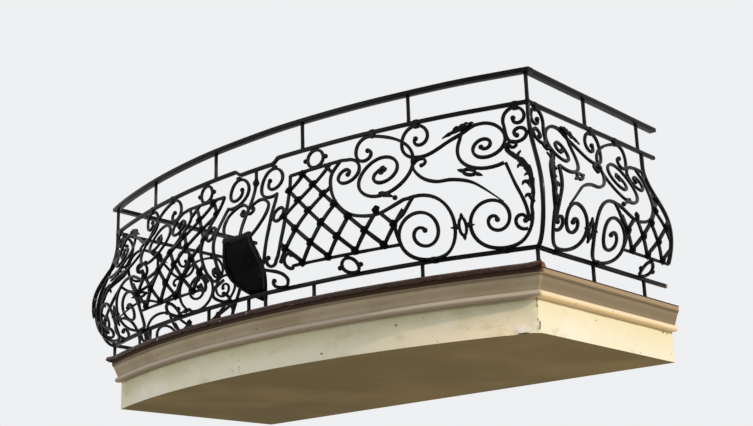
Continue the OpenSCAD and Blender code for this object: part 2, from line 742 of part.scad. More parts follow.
module front_right_corner_scrolls() { color(iron) union() corner_bay(FRONT); }
module front_left_corner_scrolls() { mirror([1, 0, 0]) front_right_corner_scrolls(); }
module side_right_corner_scrolls() { color(iron) union() corner_bay(SIDE); }
module side_left_corner_scrolls() { mirror([1, 0, 0]) side_right_corner_scrolls(); }
module front_right_long_scrolls() { color(iron) union() long_bay(FRONT); }
module front_left_long_scrolls() { mirror([1, 0, 0]) front_right_long_scrolls(); }
module side_right_long_scrolls() { color(iron) union() long_bay(SIDE); }
module side_left_long_scrolls() { mirror([1, 0, 0]) side_right_long_scrolls(); }
module front_right_lattice() { color(iron) union() lattice_bay(FRONT); }
module front_left_lattice() { mirror([1, 0, 0]) front_right_lattice(); }
module side_right_lattice() { color(iron) union() lattice_bay(SIDE); }
module side_left_lattice() { mirror([1, 0, 0]) side_right_lattice(); }
module front_right_rosettes() { color(iron_worn) rosette_bay(FRONT); }
module front_left_rosettes() { mirror([1, 0, 0]) front_right_rosettes(); }
module side_right_rosettes() { color(iron_worn) rosette_bay(SIDE); }
module side_left_rosettes() { mirror([1, 0, 0]) side_right_rosettes(); }

slab_core();
floor_topping();
edge_flashing();
cornice_bed();
cornice_cavetto();
cornice_roll();
fascia_band();
handrail_front();
handrail_left();
handrail_right();
upper_rail_front();
upper_rail_left();
upper_rail_right();
lower_rail_front();
lower_rail_left();
lower_rail_right();
handrail_struts();
rail_feet();
corner_post_left();
corner_post_right();
center_scrolls();
center_shield();
shield_rim();
front_left_corner_scrolls();
front_right_corner_scrolls();
side_left_corner_scrolls();
side_right_corner_scrolls();
front_left_long_scrolls();
front_right_long_scrolls();
side_left_long_scrolls();
side_right_long_scrolls();
front_left_lattice();
front_right_lattice();
side_left_lattice();
side_right_lattice();
front_left_rosettes();
front_right_rosettes();
side_left_rosettes();
side_right_rosettes();
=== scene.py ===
# %% [markdown]
# # A bow-fronted wrought iron balcony
#
# This notebook dresses a finished CAD model of a balcony. A masonry slab with a moulded
# edge carries a railing that swells out like a belly, made of scrolls, lattice panels and
# a bare shield. The CAD gives every piece its place and size. Here each forged piece is
# made again as a finer surface in the same place, and every piece gets a finish.

# %% Start
"""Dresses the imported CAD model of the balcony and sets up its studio."""

import json

import bpy
import numpy as np
from mathutils import Matrix, Vector


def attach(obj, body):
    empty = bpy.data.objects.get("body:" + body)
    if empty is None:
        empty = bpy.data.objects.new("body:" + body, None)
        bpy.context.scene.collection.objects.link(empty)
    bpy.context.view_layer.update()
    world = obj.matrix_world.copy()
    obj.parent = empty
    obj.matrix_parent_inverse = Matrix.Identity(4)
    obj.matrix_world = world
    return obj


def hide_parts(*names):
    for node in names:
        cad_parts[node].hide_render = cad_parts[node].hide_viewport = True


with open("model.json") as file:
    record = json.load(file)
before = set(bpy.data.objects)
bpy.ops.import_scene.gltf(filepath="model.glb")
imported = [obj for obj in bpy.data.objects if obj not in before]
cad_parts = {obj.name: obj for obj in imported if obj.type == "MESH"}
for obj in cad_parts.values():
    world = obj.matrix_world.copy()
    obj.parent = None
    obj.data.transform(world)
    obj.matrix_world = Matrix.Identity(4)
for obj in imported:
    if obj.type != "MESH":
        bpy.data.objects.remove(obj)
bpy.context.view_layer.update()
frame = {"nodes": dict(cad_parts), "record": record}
print("CAD nodes:", len(frame["nodes"]))

# %% [markdown]
# ## Sizes
#
# The smith's main sizes, in metres. The rails, the swelling and the slab are the CAD
# model's own, because each piece made here has to lie where its plain solid lay. The bars
# are a little thinner than their solids, and the lattice bars a little wider, as a closer
# look at the real ones showed. The wall stands at y = 0, the balcony reaches out along
# -Y, and z = 0 is half way up the slab.

# %% Sizes
HALF_WIDTH = 1.730
SIDE_DEPTH = 1.430
RAIL_STOP = 0.100
FRONT_BOW = 0.320
SLAB_H = 0.350
FLOOR_Z = SLAB_H / 2

LOWER_RAIL_Z = FLOOR_Z + 0.083
RAIL_GAP = 0.794
UPPER_RAIL_Z = LOWER_RAIL_Z + RAIL_GAP
HANDRAIL_Z = FLOOR_Z + 1.050
RAIL_W = 0.022
HANDRAIL_W, HANDRAIL_T, HANDRAIL_OUT = 0.046, 0.026, 0.011
POST_W = 0.020
UPRIGHT_GAP = 0.0004

BELLY = 0.140
BELLY_H = 0.267
NECK_H = 0.717
POST_SHARE = 0.7

BAR_W = 0.018
BAR_T = 0.014
LATTICE_W = 0.022
LATTICE_STEP = 0.002
BALL_D = 0.030
COLLAR_T = 0.005
SEAT = 0.0003

# The sheets on the sides fall by SIDE_FALL, from FALL_IN inside the railing line to
# FALL_OUT outside it.
SIDE_FALL, FALL_IN, FALL_OUT = 0.022, 0.088, 0.018

CORNER_GAP = 0.008
arc_r = (HALF_WIDTH**2 + FRONT_BOW**2) / (2 * FRONT_BOW)
arc_y = arc_r - SIDE_DEPTH - FRONT_BOW
half_angle = np.arcsin(HALF_WIDTH / arc_r)
half_front = arc_r * half_angle
print(f"front arc: radius {arc_r:.3f} m, {2 * half_front:.3f} m along")

# %% [markdown]
# ## Surfaces
#
# Every new piece is a grid of points worked out as one array, and joined up into quads.
# A `Skin` keeps the points and faces of one such surface. Several skins together make one
# object, and a left-hand piece is the mirror image of a right-hand one.

# %% Surfaces
class Skin:
    """Points (n, 3) and faces of one closed surface, with its faces outwards."""

    def __init__(self, points, quads, caps=()):
        self.points, self.quads, self.caps = points, quads, list(caps)

    def mirrored(self):
        """The same surface with x turned about, and its faces turned to match."""
        caps = [cap[::-1] for cap in self.caps]
        return Skin(self.points * [-1, 1, 1], self.quads[:, ::-1], caps)


def skin_of(grid, ring=False):
    """Skin of a grid (rows, cols, 3) whose columns close on themselves.

    Row i, column j joins its neighbours as the quad (i, j), (i, j+1), (i+1, j+1), (i+1, j).
    The first and last rows get a cap each, unless the rows close into a ring as well.
    """
    rows, cols = grid.shape[:2]
    index = np.arange(rows * cols).reshape(rows, cols)
    if ring:
        index = np.vstack([index, index[:1]])
    index = np.hstack([index, index[:, :1]])
    quads = np.stack([index[:-1, :-1], index[:-1, 1:], index[1:, 1:], index[1:, :-1]], axis=-1)
    caps = [] if ring else [np.arange(cols)[::-1], np.arange(cols) + (rows - 1) * cols]
    return Skin(grid.reshape(-1, 3), quads.reshape(-1, 4), caps)


def object_of(name, skins, smooth_below=40):
    """Object with all the skins in one mesh, shaded smooth where faces meet below an angle."""
    offsets = np.cumsum([0] + [len(s.points) for s in skins[:-1]])
    points = np.concatenate([s.points for s in skins])
    faces = np.concatenate([s.quads + o for s, o in zip(skins, offsets)]).tolist()
    faces += [(cap + o).tolist() for s, o in zip(skins, offsets) for cap in s.caps]
    mesh = bpy.data.meshes.new(name)
    mesh.from_pydata(points.tolist(), [], faces)
    mesh.polygons.foreach_set("use_smooth", np.ones(len(faces), dtype=bool))
    mesh.set_sharp_from_angle(angle=np.radians(smooth_below))
    obj = bpy.data.objects.new(name, mesh)
    bpy.context.scene.collection.objects.link(obj)
    return obj


print("a grid of 3 by 4 points makes", len(skin_of(np.zeros((3, 4, 3))).quads), "quads")

# %% [markdown]
# Each piece made here takes the place of one plain CAD solid, and says so: it rides on the
# same body, keeps the same slot for its finish, and replaces that solid in the picture.

# %% Pieces
dressed = {}


def stand_for(node, name, skins, smooth_below=40):
    """Makes a piece that stands for one CAD node, rides its body and keeps its slot."""
    obj = object_of(name, skins, smooth_below)
    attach(obj, "root")
    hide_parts(node)
    dressed[node] = obj
    print(f"{name}: {sum(len(s.quads) for s in skins)} quads")
    return obj


def both_hands(node, name, skins, smooth_below=40):
    """A right-hand piece and its mirror image; {} in the names takes the hand."""
    stand_for(node.format("right"), name.format("right"), skins, smooth_below)
    turned = [s.mirrored() for s in skins]
    stand_for(node.format("left"), name.format("left"), turned, smooth_below)


print("CAD solids to stand for:", len(frame["nodes"]))

# %% [markdown]
# ## The panels' surface
#
# A smith sets out such a panel flat and then bends it over a former. The same is done
# here: every bar is drawn on a flat pattern, along from the corner and up from the lower
# rail, and `place` carries the pattern on to the swelling. The cross-section is a quarter
# oval below, an S-shaped neck above it, and a short upright piece under the upper rail.

# %% Swelling
def swelling():
    """Length run over the cross-section, with how far out, how high and how it leans there.

    Out is belly * sin(a) and up is belly_h * (1 - cos(a)) for the quarter oval. The neck
    is half a cosine wave from the belly back to nothing. Both ends run straight on past
    the rails' middles, for the clips that wrap round the rails.
    """
    a = np.radians(np.linspace(0, 90, 60))
    k = np.linspace(0, 1, 90)[1:]
    out = np.concatenate([BELLY * np.sin(a), BELLY * (1 + np.cos(np.pi * k)) / 2, [0]])
    up = np.concatenate([BELLY_H * (1 - np.cos(a)), BELLY_H + (NECK_H - BELLY_H) * k, [RAIL_GAP]])
    run = np.concatenate([[0], np.cumsum(np.hypot(np.diff(out), np.diff(up)))])
    lean = np.arctan2(np.gradient(out, run), np.gradient(up, run))
    past = 0.04
    full = np.concatenate([[-past], run, [run[-1] + past]])
    out = np.concatenate([[-past], out, [0]])
    up = np.concatenate([[0], up, [RAIL_GAP + past]])
    return full, out, up, np.concatenate([lean[:1], lean, lean[-1:]]), run[-1]


RUN, OUT, UP, LEAN, SPAN = swelling()
PATTERN_H = 880
PATTERN_W = {"front": 1770, "side": 1385}
UNIT_UP = SPAN / PATTERN_H
UNIT_ALONG = {
    "front": (half_front - CORNER_GAP) / PATTERN_W["front"],
    "side": (SIDE_DEPTH - RAIL_STOP - CORNER_GAP) / PATTERN_W["side"],
}
STILE_GAP = 0.150
PATTERN_END = {
    "front": PATTERN_W["front"],
    "side": (SIDE_DEPTH - RAIL_STOP - STILE_GAP - CORNER_GAP) / UNIT_ALONG["side"],
}


def place(face, along, up, proud=0.0):
    """Points of a panel, and the outward direction there, from places on its pattern."""
    along, up = np.asarray(along, float), np.asarray(up, float)
    e = CORNER_GAP + along * UNIT_ALONG[face]
    v = up * UNIT_UP
    lean = np.interp(v, RUN, LEAN)
    b = np.interp(v, RUN, OUT)
    z = LOWER_RAIL_Z + np.interp(v, RUN, UP)
    if face == "front":
        a = (half_front - e) / arc_r
        way = np.stack([np.sin(a), -np.cos(a), 0 * a], -1)
        foot = np.stack([(arc_r + b) * np.sin(a), arc_y - (arc_r + b) * np.cos(a), z], -1)
    else:
        way = np.stack([np.ones_like(e), 0 * e, 0 * e], -1)
        foot = np.stack([HALF_WIDTH + b, e - SIDE_DEPTH, z], -1)
    outward = way * np.cos(lean)[..., None] - np.array([0, 0, 1]) * np.sin(lean)[..., None]
    return foot + outward * np.asarray(proud)[..., None], outward


print(f"a panel's cross-section runs {SPAN:.3f} m from rail to rail")

# %% [markdown]
# ## Paths on the pattern
#
# A forged scroll opens evenly: its radius shrinks in proportion to the angle, which is
# what `curl` does. `flow` draws a smooth line through a few points, and `join` links two
# curves by an easy bend that leaves each in its own direction.

# %% Paths
def curl(centre, r0, r1, a0, a1, tight=1.0):
    """Spiral from radius r0 at angle a0 to r1 at a1, in degrees; tight closes it faster."""
    t = np.linspace(0, 1, int(abs(a1 - a0) / 9) + 2)[:, None]
    a = np.radians(a0 + (a1 - a0) * t)
    r = r1 + (r0 - r1) * (1 - t) ** tight
    return np.array(centre) + r * np.hstack([np.cos(a), np.sin(a)])


def flow(*points, steps=8):
    """Smooth curve through the points: a Catmull-Rom cubic from each to the next."""
    p = np.array(points, float)
    p = np.vstack([p[:1], p, p[-1:]])
    t = np.linspace(0, 1, steps, endpoint=False)[None, :, None]
    a, b, c, d = (p[i : len(p) - 3 + i, None, :] for i in range(4))
    cubic = 2 * b + (c - a) * t + (2 * a - 5 * b + 4 * c - d) * t**2 + (3 * b - a - 3 * c + d) * t**3
    cubic = 0.5 * cubic
    return np.vstack([cubic.reshape(-1, 2), p[-1:]])


def join(first, second, pull=0.4):
    """Two curves and a Bezier link that leaves each of them in its own direction."""
    p0, p3 = first[-1], second[0]
    gap = np.linalg.norm(p3 - p0)
    d0, d3 = first[-1] - first[-2], second[0] - second[1]
    p1 = p0 + d0 / np.linalg.norm(d0) * gap * pull
    p2 = p3 + d3 / np.linalg.norm(d3) * gap * pull
    t = np.linspace(0, 1, max(3, int(gap / 12)))[1:-1, None]
    link = (1 - t) ** 3 * p0 + 3 * (1 - t) ** 2 * t * p1 + 3 * (1 - t) * t**2 * p2 + t**3 * p3
    return np.vstack([first, link, second])


def straight(a, b, step=14):
    """Points from a to b, close enough together to follow the swelling."""
    n = max(2, int(np.hypot(b[0] - a[0], b[1] - a[1]) / step))
    return np.linspace(a, b, n)


print("a full turn of a scroll has", len(curl([0, 0], 1, 1, 0, 360)), "points")

# %% [markdown]
# ## Bars
#
# A bar is a rounded square carried along its path. At each point the path's direction,
# the panel's outward direction and the one across them make a frame, and the square is
# laid out in it. Hammered bars are never quite even, so the width and thickness wander
# a little, by the same amounts every time the script runs.

# %% Bars
hammer = np.random.default_rng(7)


def wander(n, span, amount):
    """Smooth random values: sums of three waves with wavelengths around the span."""
    t = np.arange(n)
    waves = [np.sin(2 * np.pi * t / (span * k) + hammer.uniform(0, 6.3)) for k in (1, 1.7, 2.9)]
    return amount * sum(waves) / 1.7


def rounded_square(corner=0.28):
    """Twelve points of a square of side 2 with cut corners, anticlockwise."""
    c = 1 - corner
    quarter = np.array([[1, -c], [1, c], [c + corner * 0.72, c + corner * 0.72]])
    angles = np.radians([0, 90, 180, 270])
    turns = [np.array([[np.cos(q), -np.sin(q)], [np.sin(q), np.cos(q)]]) for q in angles]
    return np.vstack([quarter @ turn.T for turn in turns])


def unit(vectors):
    """The vectors, each made one long."""
    return vectors / np.linalg.norm(vectors, axis=-1, keepdims=True)


def bar_frame(points, outward, ring=False):
    """At each point of a path, the direction out through the bar and the one across it.

    The tangent runs from the point before to the point after. The outward direction is
    made square to it, and the cross product of these two points across the bar.
    """
    if ring:
        before, after = np.roll(points, 1, 0), np.roll(points, -1, 0)
    else:
        before, after = np.vstack([points[:1], points[:-1]]), np.vstack([points[1:], points[-1:]])
    tangent = unit(after - before)
    square = unit(outward - (outward * tangent).sum(1, keepdims=True) * tangent)
    return square, np.cross(square, tangent)


def facing(outward):
    """Sideways and upward directions on a surface that faces outward at one point."""
    side = unit(np.cross([0, 0, 1.0], outward))
    return side, np.cross(outward, side)


def carried(points, outward, section, across, through, ring=False):
    """Section (m, 2) carried along points, scaled by half widths across and through.

    Each point is path + side * across * section x + square * through * section y.
    """
    square, side = bar_frame(points, outward, ring)
    grid = (points[:, None] + side[:, None] * (across[:, None] * section[:, 0])[..., None]
            + square[:, None] * (through[:, None] * section[:, 1])[..., None])
    return skin_of(grid, ring)


SQUARE = rounded_square()
print("bar section:", len(SQUARE), "points")

# %% [markdown]
# From here on a piece is placed by its pattern. `bar` is what the others build on: a ring
# is a bar that closes on itself, a scroll is a bar with a ball on its curled end, and a
# collar is a short thick bar across the bars that it holds. A ball alone is made of
# rings of latitude.

# %% Forged pieces
def bar(face, path, w=BAR_W, t=BAR_T, widths=(1, 1), proud=0.0, ring=False, even=False):
    """Bar along a path on the pattern; widths scale its width from one end to the other."""
    n = len(path)
    points, outward = place(face, path[:, 0], path[:, 1], proud)
    scale = np.interp(np.linspace(0, 1, n), np.linspace(0, 1, len(widths)), widths)
    rough = 0 if even or ring else 1
    across = w / 2 * scale * (1 + rough * wander(n, 9, 0.05))
    through = t / 2 * (1 + rough * wander(n, 13, 0.04)) * np.ones(n)
    return carried(points, outward, SQUARE, across, through, ring)


def ring(face, centre, rx, ry, turn=0, w=BAR_W):
    """Oval ring of round-edged bar."""
    a = np.linspace(0, 2 * np.pi, 40, endpoint=False)
    c, s = np.cos(np.radians(turn)), np.sin(np.radians(turn))
    x, y = rx * np.cos(a), ry * np.sin(a)
    path = np.array(centre) + np.stack([x * c - y * s, x * s + y * c], 1)
    return bar(face, path, w=w, ring=True)


def ball(face, centre, d=BALL_D, flat=0.9):
    """Ball that ends a scroll: rings of latitude about the outward direction."""
    foot, outward = place(face, centre[0], centre[1])
    side, up = facing(outward)
    lat = np.radians(np.linspace(-84, 84, 9))[:, None]
    lon = np.radians(np.arange(0, 360, 30))[None, :]
    x, y = np.cos(lat) * np.cos(lon), np.cos(lat) * np.sin(lon)
    z = flat * (np.sin(lat) * np.ones_like(lon))
    return skin_of(foot + d / 2 * (x[..., None] * side + y[..., None] * up + z[..., None] * outward))


def scroll(face, path, ends=(-1,), d=BALL_D, **how):
    """Bar along a path, and a ball on each end of it that curls in."""
    return [bar(face, path, **how), *(ball(face, path[end], d) for end in ends)]


def collar(face, centre, across, length=30, turn=0):
    """Clip forged round bars that touch: a short block with its ends eased."""
    d = np.array([np.cos(np.radians(turn)), np.sin(np.radians(turn))])
    path = np.array(centre) + np.outer(np.array([-0.5, -0.42, -0.3, 0.3, 0.42, 0.5]) * length, d)
    width = (across + 10) * 0.001
    return bar(face, path, w=width, t=BAR_T + 2 * COLLAR_T, widths=(0.82, 1, 1, 1, 1, 0.82), even=True)


def rail_collar(face, along, side):
    """Clip round a scroll and the upper rail (side 1) or the lower rail (side -1).

    It reaches from just past the rail's far face to the far face of the scroll's bar.
    """
    far, near = RAIL_W / 2 + SEAT + BAR_W + 0.006, RAIL_W / 2 + 0.0025
    middle = (far - near) / 2 / UNIT_UP
    up = PATTERN_H - middle if side > 0 else middle
    return collar(face, [along, up], (far + near) * 1000 - 10, 30)


print(f"a scroll's balls are {1000 * BALL_D:.0f} mm across")

# %% [markdown]
# ## Leaves and rosettes
#
# The leaves are cut from sheet and forged hollow, so a leaf here is a thin shell whose
# two edges run apart from its midrib by different widths, lifted along the edges. Lobes
# are a saw-toothed wave on the width.

# %% Leaves
LEAF_LIFT = 0.006
LEAF_T = 0.004


def leaf(face, path, left, right, proud=0.0, lobes=0, depth=0.0):
    """Thin hollow leaf along a path; left and right are half widths in metres along it.

    At a share q of the half width the shell is lifted by lift * q**2, and a midrib of
    thick / 2 * exp(-(q / 0.16)**2) stands on it.
    """
    path = np.asarray(path, float)
    n = len(path)
    t = np.linspace(0, 1, n)
    points, outward = place(face, path[:, 0], path[:, 1], proud)
    tooth = 1 - depth * ((t * lobes) % 1) if lobes else np.ones(n)
    lefts = np.interp(t, np.linspace(0, 1, len(left)), left) * tooth
    rights = np.interp(t, np.linspace(0, 1, len(right)), right) * tooth
    q = np.linspace(-1, 1, 9)
    rib = 0.5 * LEAF_T * np.exp(-((q / 0.16) ** 2))
    u = np.where(q < 0, q * lefts[:, None], q * rights[:, None])
    top = LEAF_LIFT * q**2 + LEAF_T / 2 + rib + 0 * u
    low = LEAF_LIFT * q**2 - LEAF_T / 2 + 0 * u
    square, side = bar_frame(points, outward)
    us = np.hstack([u, u[:, ::-1]])
    vs = np.hstack([low, top[:, ::-1]])
    return skin_of(points[:, None] + side[:, None] * us[..., None] + square[:, None] * vs[..., None])


def spear(face, a, b, w=0.022):
    """Spear blade between two points, widest a third of the way along."""
    taper = (0.4, 0.95, 1, 0.8, 0.5, 0.12)
    return bar(face, straight(a, b, 6), w=w, t=BAR_T * 0.8, widths=taper, even=True)


def lobe(face, w, points):
    """Curled lobe of a leaf: a thick blade of width w that tapers to its tip."""
    taper = (0.8, 1, 0.85, 0.6, 0.2)
    return bar(face, flow(*points, steps=5), w=w, t=0.011, widths=taper, proud=0.008, even=True)


print(f"leaves are {1000 * LEAF_T:.0f} mm thick")

# %% [markdown]
# A rosette is a dome whose radius waves five times round, and the large flower on a
# scroll's eye waves four times. Both have a round boss in the middle. A rosette sits on the
# bar's outer face, and a little further out where the bars rise in the hollow of the neck.

# %% Rosettes
ROSETTE_R = 0.0265
ROSETTE_H = 0.0136
MESH_HALF = 0.045


def hollow(v):
    """How far the bars beside a crossing rise in the hollow of the neck, at a rosette's edge."""
    beside = (np.interp(v + MESH_HALF, RUN, OUT) + np.interp(v - MESH_HALF, RUN, OUT)) / 2
    return max(0, beside - np.interp(v, RUN, OUT)) * ROSETTE_R / MESH_HALF


def petalled(face, centre, proud, step, rings, petals, boss, radius, height):
    """Round head of petals: rings about the outward direction, each a share of the radius.

    Outside the boss that share is times low + wave * |cos(count * (a + turn))| at angle a.
    Each ring's height is its own share of the head's height.
    """
    low, wave, count, turn = petals
    foot, outward = place(face, centre[0], centre[1], proud)
    side, up = facing(outward)
    a = np.radians(np.arange(0, 360, step))[None, :]
    share, rise = np.array(rings)[:, :1], np.array(rings)[:, 1:]
    plain = (share < boss) * 1.0
    waved = low + wave * np.abs(np.cos(count * (a + turn)))
    r = radius * share * (waved * (1 - plain) + plain)
    x, y, z = r * np.cos(a), r * np.sin(a), height * rise * np.ones_like(a)
    return skin_of(foot + x[..., None] * side + y[..., None] * up + z[..., None] * outward)


ROSETTE_RINGS = [[0.9, 0.0], [1.0, 0.3], [0.84, 0.62], [0.6, 0.55], [0.46, 0.45], [0.42, 0.8],
                 [0.28, 0.98], [0.05, 1.0]]
FLOWER_R, FLOWER_H = 0.034, 0.018
FLOWER_RINGS = [[0.5, -0.5], [0.85, -0.3], [1.0, 0.1], [0.85, 0.35], [0.5, 0.2], [0.3, 0.3],
                [0.26, 0.7], [0.05, 0.8]]


def rosette(face, centre, turn):
    """Five-petalled rosette, whose radius is R * (0.82 + 0.18 * |cos(2.5 * (a + turn))|)."""
    proud = BAR_T / 2 + SEAT + hollow(centre[1] * UNIT_UP)
    petals = (0.82, 0.18, 2.5, turn)
    return petalled(face, centre, proud, 12, ROSETTE_RINGS, petals, 0.5, ROSETTE_R, ROSETTE_H)


def flower(face, centre):
    """Four-petalled flower, whose radius is R * (0.72 + 0.28 * |cos(2 a)|)."""
    return petalled(face, centre, 0.0, 9, FLOWER_RINGS, (0.72, 0.28, 2, 0), 0.4, FLOWER_R, FLOWER_H)


print(f"rosettes are {2000 * ROSETTE_R:.0f} mm across")

# %% [markdown]
# ## The pattern of one bay
#
# These are the smith's curves, in the pattern's own units. Their points and radii were read
# off the photograph, and carried back on to the flat pattern through the fitted camera.
# One set serves the front, both hands, and the straight sides, where the lattice stops at
# the end stile by the wall.

# %% Pattern
LATTICE_FOOT = 143
corner_curl = join(curl([60, 801], 16, 76, 0, -385), curl([50, 705], 57, 14, -82, -420))
upper_s = join(
    join(curl([625, 781], 14, 118, 15, -450), flow([506, 690], [440, 728], [375, 757])),
    curl([232, 658], 145, 20, 78, 700, 1.8),
)
hip_arc = join(flow([308, 799], [340, 789], [364, 768]), curl([217, 690], 163, 206, 12, -120), 0.3)
hip_bar = flow([105, 507], [57, 379], [24, 300], [5, 240], [-5, 166])
leaf_arm = flow([110, 640], [108, 600], [70, 552], [10, 485], [-28, 410], [-38, 320])
lower_c = curl([172, 195], 198, 12, 168, 900, 1.5)
lower_curl = curl([30, 176], 50, 13, -112, 200)
small_hook = curl([78, 630], 30, 14, 0, 330)
thin_s = flow([649, 650], [625, 572], [560, 497], [480, 458], [393, 453], [300, 425], [229, 378], [118, 282])
thin_curl = curl([590, 611], 44, 16, 4, 250)
big_c = join(curl([948, 766], 12, 98, 120, 475), curl([825, 596], 188, 24, 167, 800))
frame_top = join(straight([1489, 743], [1119, 754]), curl([1066, 650], 100, 12, 82, 560))
frame_side = flow([1127, 750], [1172, 672], [1146, 563], [1079, 447], [992, 364], [906, 333],
                  [822, 326], [756, 342], [663, 380])
great_curl = curl([568, 182], 212, 22, 71, 860, 1.15)
frame_edge = flow([607, 384], [661, 304], [715, 251], [700, LATTICE_FOOT])
foot_curl = curl([1403, 180], 52, 30, -90, 120)
frame_left = join(
    flow([1489, 743], [1464, 626], [1437, 500], [1429, 381], [1455, 279], [1482, 215]),
    curl([1545, 203], 46, 16, 190, 420),
)
outline = np.array([
    [1489, 743], [1119, 760], *frame_side[::4].tolist(), [660, 300], [715, 251],
    [700, LATTICE_FOOT], [1480, LATTICE_FOOT], [1455, 279], [1429, 381], [1437, 500], [1464, 626],
])
GRID_0 = np.array([1464.0, 630.0])
GRID_I = np.array([-99.0, -95.0])
GRID_J = np.array([-76.0, 97.0])
# Rows of crossings: how many steps of GRID_J from GRID_0, and the first and last GRID_I.
CROSSING_ROWS = [(-2, 2, 3), (-1, 1, 4), (0, 0, 5), (1, 0, 6), (2, 5, 6)]
print("the lattice's outline has", len(outline), "corners")

# %% [markdown]
# ## Scroll panels
#
# Beside each corner stand a C-scroll under the upper rail, an arm that swells into a
# leaf, and a large scroll on the lower rail. Next to them a long S-scroll and a large
# C-scroll fill the upper half. Clips hold the scrolls to the rails.

# %% Corner scrolls
def corner_bay(face):
    """Skins of the panel beside a corner."""
    parts = [*scroll(face, corner_curl, (0, -1)), rail_collar(face, 62, 1)]
    parts += scroll(face, small_hook, d=BALL_D * 0.8, w=BAR_W * 0.8)
    parts += [bar(face, hip_arc), bar(face, hip_bar), *scroll(face, np.vstack([leaf_arm, lower_c]))]
    parts += [rail_collar(face, 157, -1), *scroll(face, lower_curl)]
    body = flow([106, 612], [70, 552], [10, 485], [-28, 410], [-38, 320], [-36, 246], steps=10)
    left = (0.004, 0.016, 0.019, 0.022, 0.019, 0.014, 0.002)
    right = (0.004, 0.012, 0.017, 0.019, 0.017, 0.012, 0.002)
    parts.append(leaf(face, body, left, right, proud=0.009, lobes=6, depth=0.35))
    for w, points in (
        (0.024, ([16, 484], [36, 512], [42, 546], [28, 572])),
        (0.024, ([-20, 424], [4, 464], [30, 474], [40, 456])),
        (0.024, ([-38, 322], [-16, 362], [6, 368], [16, 352])),
        (0.024, ([-37, 255], [-20, 292], [-4, 297], [5, 284])),
        (0.018, ([-38, 372], [-24, 404], [-8, 412], [4, 402])),
    ):
        parts.append(lobe(face, w, points))
    parts += [ring(face, [300, 484], 36, 17, 24)]
    parts += [spear(face, [267, 469], [224, 448]), spear(face, [333, 499], [368, 512])]
    parts += [ring(face, [345, 184], 19, 46, w=0.015)]
    for s in (-1, 1):
        parts.append(spear(face, [345, 184 + 44 * s], [345, 184 + 72 * s]))
        parts.append(spear(face, [345 + 16 * s, 186], [345 + 66 * s, 186]))
        parts.append(ball(face, [345 + 36 * s, 188], 0.032))
    return parts


def long_bay(face):
    """Skins of the long S-scroll, the thin bars under it and the large C-scroll."""
    parts = [*scroll(face, upper_s, (0, -1)), rail_collar(face, 633, 1)]
    body = flow([300, 802], [345, 788], [396, 776], [440, 760], [474, 745])
    half = (0.003, 0.010, 0.016, 0.012, 0.002)
    parts.append(leaf(face, body, half, half, proud=0.009, lobes=3, depth=0.3))
    for w, points in (
        (0.024, ([404, 768], [402, 788], [389, 800], [375, 796])),
        (0.021, ([372, 784], [367, 801], [355, 808], [344, 802])),
        (0.019, ([350, 794], [344, 808], [332, 814], [321, 809])),
        (0.015, ([322, 800], [313, 809], [301, 811], [290, 804])),
    ):
        parts.append(lobe(face, w, points))
    parts.append(bar(face, thin_s, w=BAR_W * 0.95, widths=(1, 1, 1, 0.45)))
    parts += scroll(face, thin_curl, d=0.026, w=BAR_W * 0.85)
    parts += [*scroll(face, big_c, (0,)), rail_collar(face, 908, 1), flower(face, big_c[-1])]
    tip = (0.004, 0.018, 0.02, 0.012, 0.002)
    body = flow([812, 446], [768, 430], [712, 402])
    parts.append(leaf(face, body, tip, tip, proud=0.004, lobes=2, depth=0.3))
    parts += [ball(face, [711, 403]), collar(face, [636, 640], 20, length=26, turn=60)]
    return parts


for face in ("front", "side"):
    both_hands(face + "_{}_corner_scrolls", face + "_{}_corner_ironwork", corner_bay(face))
    both_hands(face + "_{}_long_scrolls", face + "_{}_long_ironwork", long_bay(face))

# %% [markdown]
# ## Lattice panels
#
# Flat bars cross at about a right angle inside a curved frame. Each row's line is cut
# where it meets the frame's outline, and a rosette covers each crossing. The straight
# sides are shorter, so the same lattice is simply cut at the end stile.

# %% Lattice
def cross2(a, b):
    """Cross product of two vectors on the pattern."""
    return a[..., 0] * b[..., 1] - a[..., 1] * b[..., 0]


def cuts(p, d, poly):
    """Where the line from p along d meets the outline, as sorted shares of d."""
    s = np.roll(poly, -1, 0) - poly
    den = cross2(d, s)
    den = np.where(np.abs(den) < 1e-9, 1e-9, den)
    t, u = cross2(poly - p, s) / den, cross2(poly - p, d) / den
    return np.sort(t[(u >= 0) & (u < 1) & (np.abs(t) < 100)])


def lattice_row(face, p, d, poly, thick):
    """Bars of one row, between each pair of cuts."""
    c = cuts(p, d, poly)
    pairs = [(a, b) for a, b in zip(c[::2], c[1::2]) if (b - a) * np.hypot(*d) > 40]
    return [bar(face, straight(p + a * d, p + b * d), w=LATTICE_W, t=thick) for a, b in pairs]


